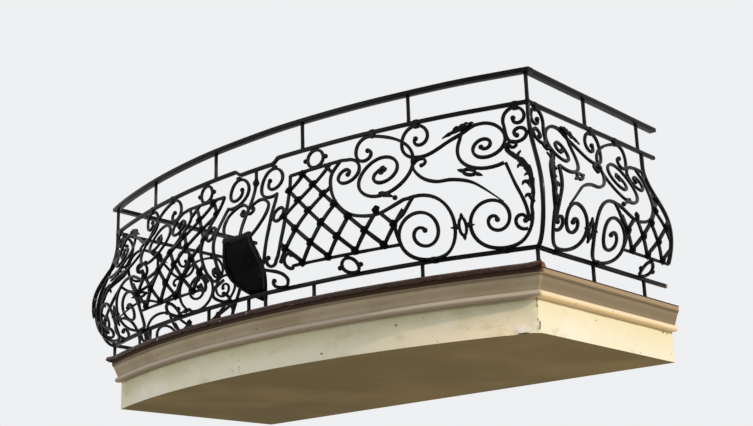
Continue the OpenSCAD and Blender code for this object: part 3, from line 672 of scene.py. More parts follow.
def lattice_bay(face):
    """Skins of the lattice, its frame, and the scrolls that grow out of the frame."""
    end = PATTERN_END[face]
    poly = np.minimum(outline, [end, 1e9])
    parts = []
    for j, first, final in CROSSING_ROWS:
        parts += lattice_row(face, GRID_0 + j * GRID_J, GRID_I, poly, BAR_T)
    for i in range(7):
        parts += lattice_row(face, GRID_0 + i * GRID_I, GRID_J, poly, BAR_T - LATTICE_STEP)
    parts += [*scroll(face, join(frame_side, great_curl, 0.5)), rail_collar(face, 552, -1)]
    parts += [bar(face, frame_edge), ball(face, frame_top[-1])]
    parts += [ring(face, [1035, 74], 50, 50), ball(face, [969, 74]), ball(face, [1101, 74])]
    parts += [collar(face, [1035, 134], 14, length=20)]
    if face == "front":
        foot = straight([700, LATTICE_FOOT], [1390, LATTICE_FOOT])
        parts += [bar(face, frame_top), *scroll(face, np.vstack([foot, foot_curl]))]
        parts += scroll(face, frame_left)
        parts += [ring(face, [1303, 807], 56, 52), ball(face, [1230, 807]), ball(face, [1376, 807])]
        parts += [ring(face, [1490, 470], 36, 46)]
    else:
        top = frame_top[frame_top[:, 0] <= end]
        foot = straight([700, LATTICE_FOOT], [end, LATTICE_FOOT])
        parts += [bar(face, np.vstack([[end, 752], top])), bar(face, foot)]
        rail_end = (SPAN - RAIL_W / 2 - SEAT) / UNIT_UP
        parts += [bar(face, straight([end, LATTICE_FOOT], [end, rail_end]), w=POST_W, t=POST_W)]
    return parts


def rosette_bay(face):
    """A rosette over each crossing that lies inside the panel."""
    steps = [(i, j) for j, first, final in CROSSING_ROWS for i in range(first, final + 1)]
    spots = [GRID_0 + i * GRID_I + j * GRID_J for i, j in steps]
    inside = [p for p in spots if p[0] < PATTERN_END[face] - 24]
    return [rosette(face, p, turn) for p, turn in zip(inside, hammer.uniform(0, 1.2, len(inside)))]


for face in ("front", "side"):
    both_hands(face + "_{}_lattice", face + "_{}_lattice_bars", lattice_bay(face))
    both_hands(face + "_{}_rosettes", face + "_{}_rosette_heads", rosette_bay(face), 30)

# %% [markdown]
# ## The centre
#
# Two scrolls meet on a stem in the middle of the front, and their long arms come down to
# carry a shield. The shield is left bare: a plate dished by hand inside a raised rim.

# %% Centre
def center_half():
    """Skins of the right-hand half of the centre's scrolls."""
    top = curl([1617, 738], 36, 114, 20, -475)
    side = flow([1567, 645], [1556, 590], [1548, 500], [1541, 420], [1548, 351], [1580, 233], [1601, 190])
    arm = flow([1764, 588], [1729, 618], [1690, 630], [1645, 614], [1607, 578], [1596, 533],
               [1603, 480], [1628, 428], [1652, 398], [1681, 372])
    foot = flow([1606, 160], [1572, 148], [1519, 131], [1479, 106], [1466, 72], [1492, 38])
    parts = [*scroll("front", top, (0,)), collar("front", [1617, 827], 20, length=24, turn=90)]
    parts += [bar("front", side), bar("front", arm)]
    parts += scroll("front", curl([1738, 562], 28, 14, -20, -230))
    parts += scroll("front", join(foot, curl([1552, 64], 38, 20, -90, 60)))
    return parts


half = center_half()
stem = [bar("front", straight([1770, 838], [1770, 398])), ball("front", [1770, 765], 0.044)]
stem += [spear("front", [1770, 770], [1770, 806], 0.030), spear("front", [1770, 760], [1770, 722], 0.030)]
stand_for("center_scrolls", "center_ironwork", half + [s.mirrored() for s in half] + stem)

# %% [markdown]
# The shield is bent like the railing: upright at its head, where it hangs from the stem,
# and swept back to the lower rail at its foot. It hangs a little to the left and a little
# askew. Its outline is drawn flat, in shares of its width and height, and rolled on to an
# arc of a circle that runs downwards.

# %% Shield
SHIELD_W, SHIELD_H, SHIELD_T = 0.306, 0.445, 0.008
SHIELD_DISH, SHIELD_OUT, SHIELD_DROP = 0.010, 0.0098, 0.012
SHIELD_ASIDE, SHIELD_ASKEW = 0.018, 0.06
RIM_W, RIM_H = 0.026, 0.016
shield_edge = np.array([
    [0, 0.975], [0.2, 0.97], [0.42, 0.975], [0.6, 0.985], [0.74, 0.98], [0.78, 0.95], [0.765, 0.915],
    [0.80, 0.86], [0.87, 0.79], [0.95, 0.71], [1, 0.62], [1, 0.52], [0.95, 0.43], [0.84, 0.35],
    [0.69, 0.27], [0.54, 0.205], [0.38, 0.14], [0.24, 0.08], [0.11, 0.03], [0, 0],
])
shield_edge = np.vstack([shield_edge, shield_edge[-2:0:-1] * [-1, 1]])
shield_head = place("front", PATTERN_W["front"], 425)[0]
SHIELD_SWEEP = np.radians(60)
shield_r = SHIELD_H / SHIELD_SWEEP


def shield_rows(scales, lifts):
    """Grid of the shield's edge, drawn in by each scale and lifted off the back by each amount.

    down = H * (0.5 - (v - 0.5) * scale) is a length on the arc, so the angle there is down / R.
    Sideways, a point stands at u * W / 2 * scale, less the shift aside and less the share
    askew of its height above the middle, (v - 0.5) * H.
    """
    scale, lift = np.array(scales)[:, None], np.array(lifts)[:, None]
    across, high = shield_edge[:, 0], shield_edge[:, 1] - 0.5
    turn = SHIELD_H * (0.5 - high * scale) / shield_r
    q = shield_r + SHIELD_OUT + lift - RIM_H / 2
    x = across * SHIELD_W / 2 * scale - SHIELD_ASIDE - SHIELD_ASKEW * high * SHIELD_H
    y = shield_head[1] + shield_r - q * np.cos(turn)
    z = shield_head[2] - SHIELD_DROP - q * np.sin(turn)
    return np.stack([x, y, z], -1)


inner = 1 - RIM_W / (SHIELD_W / 2)
draw_in = np.array([0.02, 0.25, 0.5, 0.75, 0.92, 1.0]) * inner
dish = SHIELD_DISH * (1 - (draw_in / inner) ** 2.2)
plate = skin_of(shield_rows([*draw_in, *draw_in[::-1]], [*dish, *(dish[::-1] + SHIELD_T)]))
stand_for("center_shield", "shield_plate", [plate], 60)
middle = (1 + inner) / 2
rim_scales = [1, 1, 0.975, middle + 0.03, middle - 0.03, inner + 0.012, inner + 0.003]
ridge = shield_rows(rim_scales, np.array([0, 0.6, 0.85, 1, 1, 0.8, 0]) * RIM_H)
turned = np.transpose(ridge, (1, 0, 2))
stand_for("shield_rim", "shield_edge_rim", [skin_of(turned, ring=True)], 50)

# %% [markdown]
# ## Rails and uprights
#
# The handrail is a flat bar with eased edges, and the rails under it are square. Each is
# a section carried along the railing's plan: an arc on the front, a straight line on the
# sides. The upper rail is cranked down over the middle, where the centre scrolls rise.

# %% Rails
CRANK_DROP, CRANK_HALF, CRANK_RUN = 0.030, 0.180, 0.040


def crank(along):
    """Drop of the upper rail at a distance along the arc from the middle, with sloping ends."""
    return -CRANK_DROP * np.clip((CRANK_HALF - np.abs(along)) / CRANK_RUN, 0, 1)


def front_rail(z, w, t, out, drop):
    """Rail along the front arc, its ends flush with the side rails' outer faces.

    It sags and wanders by a millimetre or so, but for its ends.
    """
    r = arc_r + out + SQUARE[:, 0] * w / 2
    reach = np.arcsin((HALF_WIDTH + out + w / 2) / r)
    s = np.linspace(-1, 1, 241)[:, None]
    a = s * reach
    dip = 0 if drop is None else drop(a * arc_r)
    uneven = (wander(len(s), 40, 0.0008) - 0.0014) * np.clip(8 * (1 - np.abs(s[:, 0])), 0, 1)
    zs = z + SQUARE[:, 1] * t / 2 + dip + uneven[:, None]
    grid = np.stack([r * np.sin(a), arc_y - r * np.cos(a), zs], -1)
    return skin_of(grid)


def side_rail(z, w, t, out):
    """Straight rail from its stop by the wall to the back of the front rail."""
    x = HALF_WIDTH + out + SQUARE[:, 0] * w / 2
    back = np.sqrt((arc_r + out - w / 2) ** 2 - x**2)
    s = np.linspace(0, 1, 60)[:, None]
    y = -RAIL_STOP - s * (back - arc_y - RAIL_STOP) * np.ones_like(x)
    away = np.clip(10 * (1 - s[:, 0]), 0, 1)
    uneven = ((wander(len(s), 25, 0.0006) - 0.001) * away * np.clip(10 * s[:, 0], 0, 1))[:, None]
    grid = np.stack([x + 0 * s, y, z + SQUARE[:, 1] * t / 2 + uneven], -1)
    return skin_of(grid[:, ::-1])


for name, z, w, t, out, drop in (
    ("handrail", HANDRAIL_Z, HANDRAIL_W, HANDRAIL_T, HANDRAIL_OUT, None),
    ("upper_rail", UPPER_RAIL_Z, RAIL_W, RAIL_W, 0.0, crank),
    ("lower_rail", LOWER_RAIL_Z, RAIL_W, RAIL_W, 0.0, None),
):
    stand_for(name + "_front", name + "_front_bar", [front_rail(z, w, t, out, drop)])
    both_hands(name + "_{}", name + "_{}_bar", [side_rail(z, w, t, out)])

# %% [markdown]
# Struts carry the handrail and feet carry the lower rail. They are upright square bars on
# the railing line, left a little thicker where they are set on. The feet at the sides
# reach lower, down to the falling sheet.

# %% Uprights
def upright(face, along, z0, z1):
    """Square upright on the railing line, slightly spread at its ends."""
    if face == "front":
        a = (half_front - along * UNIT_ALONG["front"]) / arc_r
        foot = np.array([arc_r * np.sin(a), arc_y - arc_r * np.cos(a), 0])
        way = np.array([np.sin(a), -np.cos(a), 0])
    else:
        foot = np.array([HALF_WIDTH, along * UNIT_ALONG["side"] - SIDE_DEPTH, 0])
        way = np.array([1.0, 0, 0])
    t = np.array([0, 0.01, 0.04, 0.5, 0.96, 0.99, 1])
    points = foot + np.stack([0 * t, 0 * t, z0 + (z1 - z0) * t], 1)
    half = POST_W / 2 * np.array([1.0, 1.0, 0.86, 0.82, 0.86, 1.0, 1.0])
    return carried(points, np.tile(way, (len(t), 1)), SQUARE, half, half)


STRUTS = [("front", 684), ("front", 1404), ("side", 588), ("side", 1198), ("side", 0)]
FEET = [("front", 638), ("front", 1339), ("front", 1708), ("side", 552), ("side", 1116), ("side", 0)]
strut_low = UPPER_RAIL_Z + RAIL_W / 2 + UPRIGHT_GAP
strut_high = HANDRAIL_Z - HANDRAIL_T / 2 - UPRIGHT_GAP
struts = [upright(f, s, strut_low, strut_high) for f, s in STRUTS]
stand_for("handrail_struts", "handrail_strut_bars", struts + [s.mirrored() for s in struts])
sheet_z = FLOOR_Z - SIDE_FALL * FALL_IN / (FALL_IN + FALL_OUT)
foot_high = LOWER_RAIL_Z - RAIL_W / 2 - UPRIGHT_GAP
feet = [upright(f, s, sheet_z if f == "side" and s else FLOOR_Z, foot_high) for f, s in FEET]
stand_for("rail_feet", "rail_foot_bars", feet + [s.mirrored() for s in feet])


def corner_post():
    """Post up the mitre between two panels; it swells by a share of their belly."""
    mitre = POST_SHARE * np.tan((np.pi / 2 - half_angle) / 2)
    v = np.linspace(RAIL_W / 2 + SEAT, SPAN - RAIL_W / 2 - SEAT, 90)
    b = np.interp(v, RUN, OUT)
    z = LOWER_RAIL_Z + np.interp(v, RUN, UP)
    points = np.stack([HALF_WIDTH + POST_SHARE * b, -SIDE_DEPTH - mitre * b, z], 1)
    way = np.tile(np.array([0.82, -0.57, 0]), (len(v), 1))
    half = np.full(len(v), POST_W / 2) * (1 + wander(len(v), 18, 0.04))
    return carried(points, way, SQUARE, half, half)


both_hands("corner_post_{}", "corner_post_{}_bar", [corner_post()])

# %% [markdown]
# ## The slab's edge
#
# A moulding is its profile carried round the plan, and every point of the profile keeps
# its own distance from the railing line, so the corners mitre by themselves. Plaster run
# by hand is never dead straight: the surface wanders by a millimetre or so.

# %% Slab edge
SIDES, FRONTS = 60, 190


def plan_line(off):
    """Stations (n, 2) round the plan at a distance off, from the right wall to the left.

    They crowd towards both corners, as the sine of an even quarter turn does.
    """
    corner = np.arcsin((HALF_WIDTH + off) / (arc_r + off))
    a = -corner * np.sin(np.linspace(-np.pi / 2, np.pi / 2, FRONTS))
    arc = np.stack([(arc_r + off) * np.sin(a), arc_y - (arc_r + off) * np.cos(a)], 1)
    y = arc[0, 1] * np.sin(np.linspace(0, np.pi / 2, SIDES))[:-1]
    right = np.stack([np.full(SIDES - 1, HALF_WIDTH + off), y], 1)
    return np.vstack([right, arc, (right * [-1, 1])[::-1]])


edge_line = plan_line(0.0)
edge_run = np.concatenate([[0], np.cumsum(np.linalg.norm(np.diff(edge_line, axis=0), axis=1))])
from_right = edge_run - edge_run[SIDES - 1]
from_left = edge_run[SIDES + FRONTS - 2] - edge_run
inwards = (plan_line(-0.01) - plan_line(0.0)) / 0.01


def waves(seed, spans=(0.9, 0.37, 0.16)):
    """Smooth random values along the plan: sines of the given wavelengths in metres."""
    random = np.random.default_rng(seed)
    return sum(np.sin(2 * np.pi * edge_run / span + random.uniform(0, 6.3)) for span in spans) / 2


def moulding(profile, worn=0.0, seed=1, fixed=()):
    """Grid of a closed profile of [out, z] points carried round the plan.

    Points whose index is in fixed stay where the profile puts them. The others wander.
    """
    rows = []
    for k, (off, z) in enumerate(profile):
        line = plan_line(off)
        shift = 0 * edge_run if k in fixed else worn * waves(seed)
        rows.append(np.column_stack([line, z + shift]))
    return np.stack(rows, 1)


LIP_Z = FLOOR_Z - 0.038
BED_Z = LIP_Z - 0.012
CAVETTO_Z = BED_Z - 0.085
ROLL_Z = CAVETTO_Z - 0.035
FASCIA_IN = 0.043
CORE_IN = 0.090
FLASHING_IN = 0.150
FLASHING_T = 0.006
BED_OUT = 0.014
print(f"the plan's edge runs {edge_run[-1]:.3f} m, wall to wall")


# %% [markdown]
# The flashing is a thin sheet that laps over the edge. On the front it lies flat and its lip
# is ragged and short. On the sides it has no lip, and falls outwards to the moulding's top,
# with the plaster course under it. At both front corners the sheet has come away, so the
# front sheet's ends stand up and out.

# %% Flashing sheet
def fallen(off):
    """Fall of the side sheets at a distance off: an even slope from -FALL_IN out to FALL_OUT."""
    return np.clip((off + FALL_IN) / (FALL_IN + FALL_OUT), 0, 1) * SIDE_FALL


def eased(front, side):
    """The front's grid, passing over into the side's between 30 and 50 mm behind each corner."""
    past = np.clip((np.maximum(-from_right, -from_left) - 0.03) / 0.02, 0, 1)[:, None, None]
    return front * (1 - past) + side * past


def flashing():
    """Grid of the sheet: flat on top, turned down as a lip, with the lip's ragged edge."""
    low = FLOOR_Z - FLASHING_T
    front = np.array([
        (-FLASHING_IN, low), (0.0, low), (0.024, low), (0.024, LIP_Z + 0.001), (0.0285, LIP_Z),
        (0.0295, LIP_Z + 0.004), (0.0285, LIP_Z + 0.009), (0.0285, FLOOR_Z - 0.004),
        (0.027, FLOOR_Z - 0.001), (0.0, FLOOR_Z), (-0.05, FLOOR_Z), (-FALL_IN, FLOOR_Z),
        (-FLASHING_IN, FLOOR_Z),
    ])
    side = front.copy()
    side[2:9, 0] = FALL_OUT - np.array([0.003, 0.001, 0.0, 0.0, 0.0, 0.001, 0.003])
    side[2:9, 1] = FLOOR_Z - np.array([0.004, 0.004, 0.0035, 0.002, 0.001, 0.0003, 0.0])
    side[:, 1] -= fallen(side[:, 0])
    grid = moulding(front)
    torn = np.clip(waves(21, (0.31, 0.13, 0.047)), 0, 1) ** 2 * 0.007
    torn = torn + waves(22, (0.09, 0.033, 0.021)) * 0.0012
    lip = np.array([0, 0, 0, 1, 1, 1, 0.85, 0, 0, 0, 0, 0, 0])
    grid[:, :, 2] += (0.009 + torn)[:, None] * lip
    lift = np.array([0, 0.1, 0.2, 1, 1, 1, 1, 0.7, 0.6, 0.1, 0, 0, 0])
    for gap, reach, rise, out in ((from_right, 0.10, 0.014, 0.006), (from_left, 0.16, 0.016, 0.022)):
        curled = np.where(gap >= 0, np.clip(1 - gap / reach, 0, 1) ** 2, 0)
        grid[:, :, 2] += rise * curled[:, None] * lift
        grid[:, :, :2] -= out * curled[:, None, None] * lift[None, :, None] * inwards[:, None, :]
    return eased(grid, moulding(side))


def bed():
    """Grid of the plaster course under the sheet, whose top falls with it on the sides."""
    top = FLOOR_Z - FLASHING_T
    front = np.array([
        (-CORE_IN, BED_Z), (0.0, BED_Z), (BED_OUT, BED_Z), (BED_OUT, BED_Z + 0.006), (BED_OUT, top),
        (-FALL_IN, top), (-FLASHING_IN, top), (-FLASHING_IN, top - 0.001), (-CORE_IN, top - 0.001),
    ])
    side = front.copy()
    side[4:6, 1] -= fallen(side[4:6, 0])
    return eased(moulding(front), moulding(side))


stand_for("edge_flashing", "edge_flashing_sheet", [skin_of(flashing())], 30)
stand_for("cornice_bed", "cornice_bed_course", [skin_of(bed())], 30)

# %% [markdown]
# The hollow moulding and the roll are run in plaster with a template, so each is one line
# carried round the plan. Only the points that no other course meets are let wander.

# %% Mouldings
HOLLOW_R, HOLLOW_H, ROLL_R = 0.030, 0.077, 0.0175


def run_moulding(node, name, profile, worn, seed):
    """Moulding whose first two and last two points lie where the next course meets it."""
    fixed = (0, 1, len(profile) - 2, len(profile) - 1)
    stand_for(node, name, [skin_of(moulding(profile, worn, seed, fixed))], 35)


hollow_line = [
    (0.008 - HOLLOW_R * np.cos(a), CAVETTO_Z + HOLLOW_H * (1 - np.cos(a)) ** 0.9)
    for a in np.radians(np.arange(8, 91, 8))
]
cavetto = [(-CORE_IN, CAVETTO_Z), (-0.022, CAVETTO_Z), *hollow_line, (0.012, BED_Z - 0.008),
           (0.012, BED_Z), (-CORE_IN, BED_Z)]
run_moulding("cornice_cavetto", "cornice_hollow", cavetto, 0.0007, 3)
roll_line = [
    (ROLL_R * np.cos(a) - 0.022, CAVETTO_Z - ROLL_R + ROLL_R * np.sin(a))
    for a in np.radians(np.arange(-90, 91, 10))
]
roll = [(-CORE_IN, ROLL_Z), *roll_line, (-CORE_IN, CAVETTO_Z)]
run_moulding("cornice_roll", "cornice_half_round", roll, 0.0005, 4)

# %% [markdown]
# The plain band below them has lost bits of its plaster along the right corner. Each chip
# is a smooth dent in the band's face, so one sum over a short list of chips takes them all
# out of the same grid.

# %% Plain band
# Chips in the fascia: distance left of the right corner, height, radius and depth.
CHIPS = [
    (0.0, -0.172, 0.022, 0.013), (0.003, -0.125, 0.012, 0.006), (-0.004, -0.092, 0.010, 0.005),
    (0.002, -0.055, 0.013, 0.006), (0.0, -0.022, 0.009, 0.004), (0.135, -0.175, 0.017, 0.010),
    (0.165, -0.173, 0.010, 0.006),
]


def fascia():
    """Grid of the plain band, with its surface uneven and chips struck out of it.

    A chip is a dent of depth * exp(-(distance / radius)**2).
    """
    heights = np.linspace(-SLAB_H / 2, ROLL_Z, 22)
    grid = moulding([(-CORE_IN, heights[0]), *((-FASCIA_IN, z) for z in heights), (-CORE_IN, ROLL_Z)])
    z = grid[:, 1:-1, 2]
    depth = 0.0007 * (1 + waves(8)[:, None] * np.cos(9 * z)) + 0 * z
    for along, height, radius, deep in CHIPS:
        away = (from_right[:, None] - along) ** 2 + (z - height) ** 2
        depth = depth + deep * np.exp(-away / radius**2)
    grid[:, 1:-1, :2] += depth[..., None] * inwards[:, None, :]
    return grid


stand_for("fascia_band", "fascia_plaster", [skin_of(fascia())], 50)

# %% [markdown]
# ## Shader helpers
#
# A finish is a material whose node tree is written as sums. `Value` wraps a socket, and
# its operators add Math nodes, so `1 - mask` is a node.

# %% Shader helpers
class Value:
    """Output of a node, with Math nodes for the usual operators."""

    def __init__(self, finish, socket):
        self.finish, self.socket = finish, socket

    def maths(self, operation, a, b):
        """One Math node on two values."""
        return self.finish.node("ShaderNodeMath", {"operation": operation}, {0: a, 1: b})

    def __add__(self, other):
        return self.maths("ADD", self, other)

    def __sub__(self, other):
        return self.maths("SUBTRACT", self, other)

    def __rsub__(self, other):
        return self.maths("SUBTRACT", other, self)

    def __mul__(self, other):
        return self.maths("MULTIPLY", self, other)

    def __gt__(self, other):
        return self.maths("GREATER_THAN", self, other)

    def __lt__(self, other):
        return self.maths("LESS_THAN", self, other)

    def __abs__(self):
        return self.maths("ABSOLUTE", self, 0.0)

    __radd__ = __add__
    __rmul__ = __mul__

    def between(self, low, high):
        """0 below low and 1 above high, with a smooth rise between them."""
        return self.finish.node("ShaderNodeMapRange", {"clamp": True, "interpolation_type": "SMOOTHSTEP"},
                                {"Value": self, "From Min": low, "From Max": high})


print("a value can be added, subtracted, multiplied, compared and ramped")

# %% [markdown]
# `Finish` is the material being made. Any node that isn't a sum comes from its one method
# `node`, which takes the node's type, its settings and the values or links of its sockets.

# %% Finish
class Finish:
    """A material being made, with its shader and its object coordinates."""

    def __init__(self, name, **constants):
        self.material = bpy.data.materials.new(name)
        self.material.use_nodes = True
        self.tree = self.material.node_tree
        self.shader = self.tree.nodes["Principled BSDF"]
        for socket, value in constants.items():
            self.shader.inputs[socket.replace("_", " ")].default_value = value
        self.here = self.node("ShaderNodeTexCoord", {}, {}, "Object")
        axes = self.tree.nodes.new("ShaderNodeSeparateXYZ")
        self.tree.links.new(self.here.socket, axes.inputs[0])
        self.x, self.y, self.z = (Value(self, axes.outputs[i]) for i in range(3))

    def node(self, kind, settings, inputs, output=0):
        """Adds a node, sets it, fills its sockets and returns one of its outputs."""
        node = self.tree.nodes.new(kind)
        for key, value in settings.items():
            setattr(node, key, value)
        for key, value in inputs.items():
            if isinstance(value, Value):
                self.tree.links.new(value.socket, node.inputs[key])
            else:
                node.inputs[key].default_value = value
        return Value(self, node.outputs[output])

    def noise(self, scale, detail=3.0, rough=0.55, stretch=(1, 1, 1), shift=(0, 0, 0)):
        """Noise over the object coordinates, about 0.5 on the average."""
        place_in = {"Vector": self.here, "Scale": stretch, "Location": shift}
        where = self.node("ShaderNodeMapping", {}, place_in)
        inputs = {"Vector": where, "Scale": scale, "Detail": detail, "Roughness": rough}
        return self.node("ShaderNodeTexNoise", {}, inputs)

    def mix(self, share, a, b):
        """Colour a where the share is 0 and b where it is 1, from a Mix node's sockets 6 and 7."""
        return self.node("ShaderNodeMix", {"data_type": "RGBA"}, {0: share, 6: a, 7: b}, 2)

    def paint(self, **sockets):
        """Links values to the shader's sockets; bump is a height in metres."""
        for key, value in sockets.items():
            if key == "bump":
                height = {"Height": value, "Strength": 1.0, "Distance": 1.0}
                key, value = "Normal", self.node("ShaderNodeBump", {}, height, "Normal")
            self.tree.links.new(value.socket, self.shader.inputs[key.replace("_", " ")])
        return self.material


def colour(r, g, b):
    """Linear colour from the 0 to 255 values that a screen shows."""
    c = np.array([r, g, b]) / 255
    return (*np.where(c <= 0.04045, c / 12.92, ((c + 0.055) / 1.055) ** 2.4).tolist(), 1.0)


print("a screen's middle grey as a linear colour:", round(colour(128, 128, 128)[0], 3))

# %% [markdown]
# ## Finishes
#
# The iron has old black paint, half gloss, with a breath of rust where water stands. The
# mask that chooses a colour is always a noise, or a height or a width in metres, passed
# through `between`.

# %% Iron
def iron(name, shine=0.10, dust=0.05, gloss=0.27):
    """Old black paint on hammered iron, with mortar on the ends of the lower side rails."""
    f = Finish(name, Metallic=0.0, IOR=1.5, Specular_IOR_Level=shine)
    cloud, speck = f.noise(9, 4), f.noise(70, 3)
    rust = (cloud * 0.6 + speck * 0.4).between(0.58, 0.68) * 0.4
    black = f.mix(cloud.between(0.35, 0.7), colour(2, 2, 3), colour(8, 8, 9))
    dusty = f.mix(speck.between(0.5, 0.75) * dust, black, colour(78, 74, 68))
    worn = f.mix(rust, dusty, colour(52, 34, 25))
    mortar = f.y.between(-0.125, -0.112) * (f.z < 0.29) * speck.between(0.35, 0.5)
    return f.paint(
        Base_Color=f.mix(mortar, worn, colour(196, 178, 148)),
        Roughness=gloss + rust * 0.35 + speck.between(0.3, 0.8) * 0.15 + mortar * 0.4,
        bump=speck * 0.0005 + f.noise(220, 2) * 0.00015,
    )


iron_black = iron("black_iron_paint")
iron_dull = iron("dull_iron_paint", 0.03, 0.06, 0.34)
print("iron paint:", len(iron_black.node_tree.nodes), "nodes")

# %% [markdown]
# The plain band is painted cream. Its upper part is darker with painted shade, and a line of
# painted shade runs where it meets the roll, warmer and lighter on the sides as painted
# bounce light. Near the right corner its foot is lighter with painted sunlight, and pale
# washed patches lie mostly on its foot. A mason filled the foot beside the right corner in
# pale grey. Higher up, the plaster under the flashing's lip is painted near black on the
# front as its shadow. The underside is bare and brown, its brown darkened as painted shade.
# Each mark is a mask, and the marks are laid over the paint one after the other.

# %% Plaster
RIGHT_CORNER = (HALF_WIDTH - FASCIA_IN, float(plan_line(-FASCIA_IN)[SIDES - 1, 1]))


def cream_plaster():
    """Painted plaster of the slab, with its patches, marks, filler, chipped corner, painted shade and
    painted sunlight.
    """
    f = Finish("cream_plaster", Metallic=0.0, IOR=1.45, Specular_IOR_Level=0.3)
    patch, fine, grit = f.noise(1.7, 5, 0.6), f.noise(26, 5), f.noise(160, 3)
    # Painted shade: the band darkens upwards, fully on the front and by 0.6 on the sides.
    high = (f.z + (patch - 0.5) * 0.12).between(-0.15, 0.0)
    front = f.mix(high, colour(207, 201, 178), colour(178, 173, 141))
    side = f.mix(high * 0.6, colour(206, 202, 181), colour(204, 192, 156))
    # Painted sunlight: the lower front band towards the right corner is lighter, as where the low sun grazes
    # it.
    painted_sunlight = f.x.between(0.4, 1.6) * (1 - high) * 0.8
    sides = f.y.between(-1.44, -1.39)
    base = f.mix(sides, f.mix(painted_sunlight, front, colour(236, 217, 183)), side)
    washed = f.noise(2.4, 4, 0.6, shift=(3, 1, 0)).between(0.54, 0.64) * (1 - high * 0.5)
    base = f.mix(washed * 0.4, base, colour(214, 213, 202))
    stain = f.noise(5, 4, 0.6, (1, 1, 2.2), (7, 2, 0)).between(0.56, 0.7) * 0.3
    base = f.mix(stain, base, colour(160, 148, 112))
    nick = f.noise(17, 2, 0.5, (1, 1, 1.8), (2, 5, 1)).between(0.735, 0.75)
    base = f.mix(nick * 0.8, base, colour(88, 76, 56))
    # Painted shade: a dark line along the band's top under the roll on the front; on the sides a warmer,
    # lighter line of painted bounce light.
    roll_line_shade_and_bounce = (f.z + (fine - 0.5) * (1 - sides) * 0.012).between(-0.010, 0.0)
    base = f.mix(roll_line_shade_and_bounce * 0.55, base, f.mix(sides, colour(112, 98, 72), colour(186, 158, 106)))
    shake = (fine - 0.5) * 0.02
    ridge = abs(f.x - RIGHT_CORNER[0] + shake) + abs(f.y - RIGHT_CORNER[1] + shake)
    cracked = (1 - ridge.between(0.004, 0.012)) * fine.between(0.4, 0.5)
    base = f.mix(cracked * 0.8, base, colour(110, 96, 72))
    gash = (1 - abs(f.y - RIGHT_CORNER[1] - 0.012 + shake * 0.4).between(0.0035, 0.0055)) * (f.x > 1.6)
    gash = gash * f.z.between(-0.162, -0.155) * (1 - f.z.between(-0.118, -0.110))
    base = f.mix(gash * 0.9, base, colour(40, 31, 22))
    vein = 1 - abs(f.noise(9, 3, 0.5, shift=(5, 3, 2)) - 0.5).between(0.003, 0.007)
    vein = vein * f.noise(3.1, 2, 0.5, shift=(1, 8, 4)).between(0.56, 0.60) * (1 - sides * 0.7)
    base = f.mix(vein * 0.55, base, colour(112, 98, 72))
    loose = (fine - 0.5) * 0.10
    near = (f.x + loose).between(1.552, 1.587) * (1 - (f.x + loose).between(1.630, 1.660)) * (f.y < -1.40)
    filled = near * (1 - (f.z - loose).between(-0.142, -0.122))
    base = f.mix(filled * 0.7, base, colour(228, 220, 212))
    broken = near * (1 - (f.z + (fine - 0.5) * 0.016).between(-0.171, -0.168)) * (f.x < 1.64)
    base = f.mix(broken, base, colour(34, 30, 26))
    # Painted shadow: above z = 0.034 the front's plaster is near black, as the shadow under the flashing's
    # lip; the sides keep a plain brown.
    bed = f.z.between(0.030, 0.034)
    base = f.mix(bed, base, f.mix(sides, colour(52, 34, 22), colour(142, 124, 99)))
    # The underside's brown is partly its own colour and partly painted shade, darkened to stand in for its
    # shade; it lightens towards the right.
    under = 1 - f.z.between(-0.1748, -0.1742)
    drift = f.noise(1.1, 4).between(0.4, 0.65) * 0.6 + f.x.between(-0.5, 2.0) * 0.4
    brown = f.mix(drift, colour(94, 78, 38), colour(121, 102, 58))
    return f.paint(
        Base_Color=f.mix(under, base, brown),
        Roughness=0.82 + fine * 0.12,
        bump=fine * 0.0010 + grit * 0.0003 + patch * 0.004 - nick * 0.002 + filled * 0.001,
    )


plaster = cream_plaster()
print("cream plaster:", len(plaster.node_tree.nodes), "nodes")

# %% [markdown]
# The hollow and the half round are grimier than the band. Two soft lines of dirt run along
# the hollow, and it darkens upwards under the lip, painted shade with a little soot. The
# half round's underside has painted shade on the front and painted warm bounce light on
# the sides. One soft step in height would look painted, so a noise shifts the height that
# the dirt's masks read.

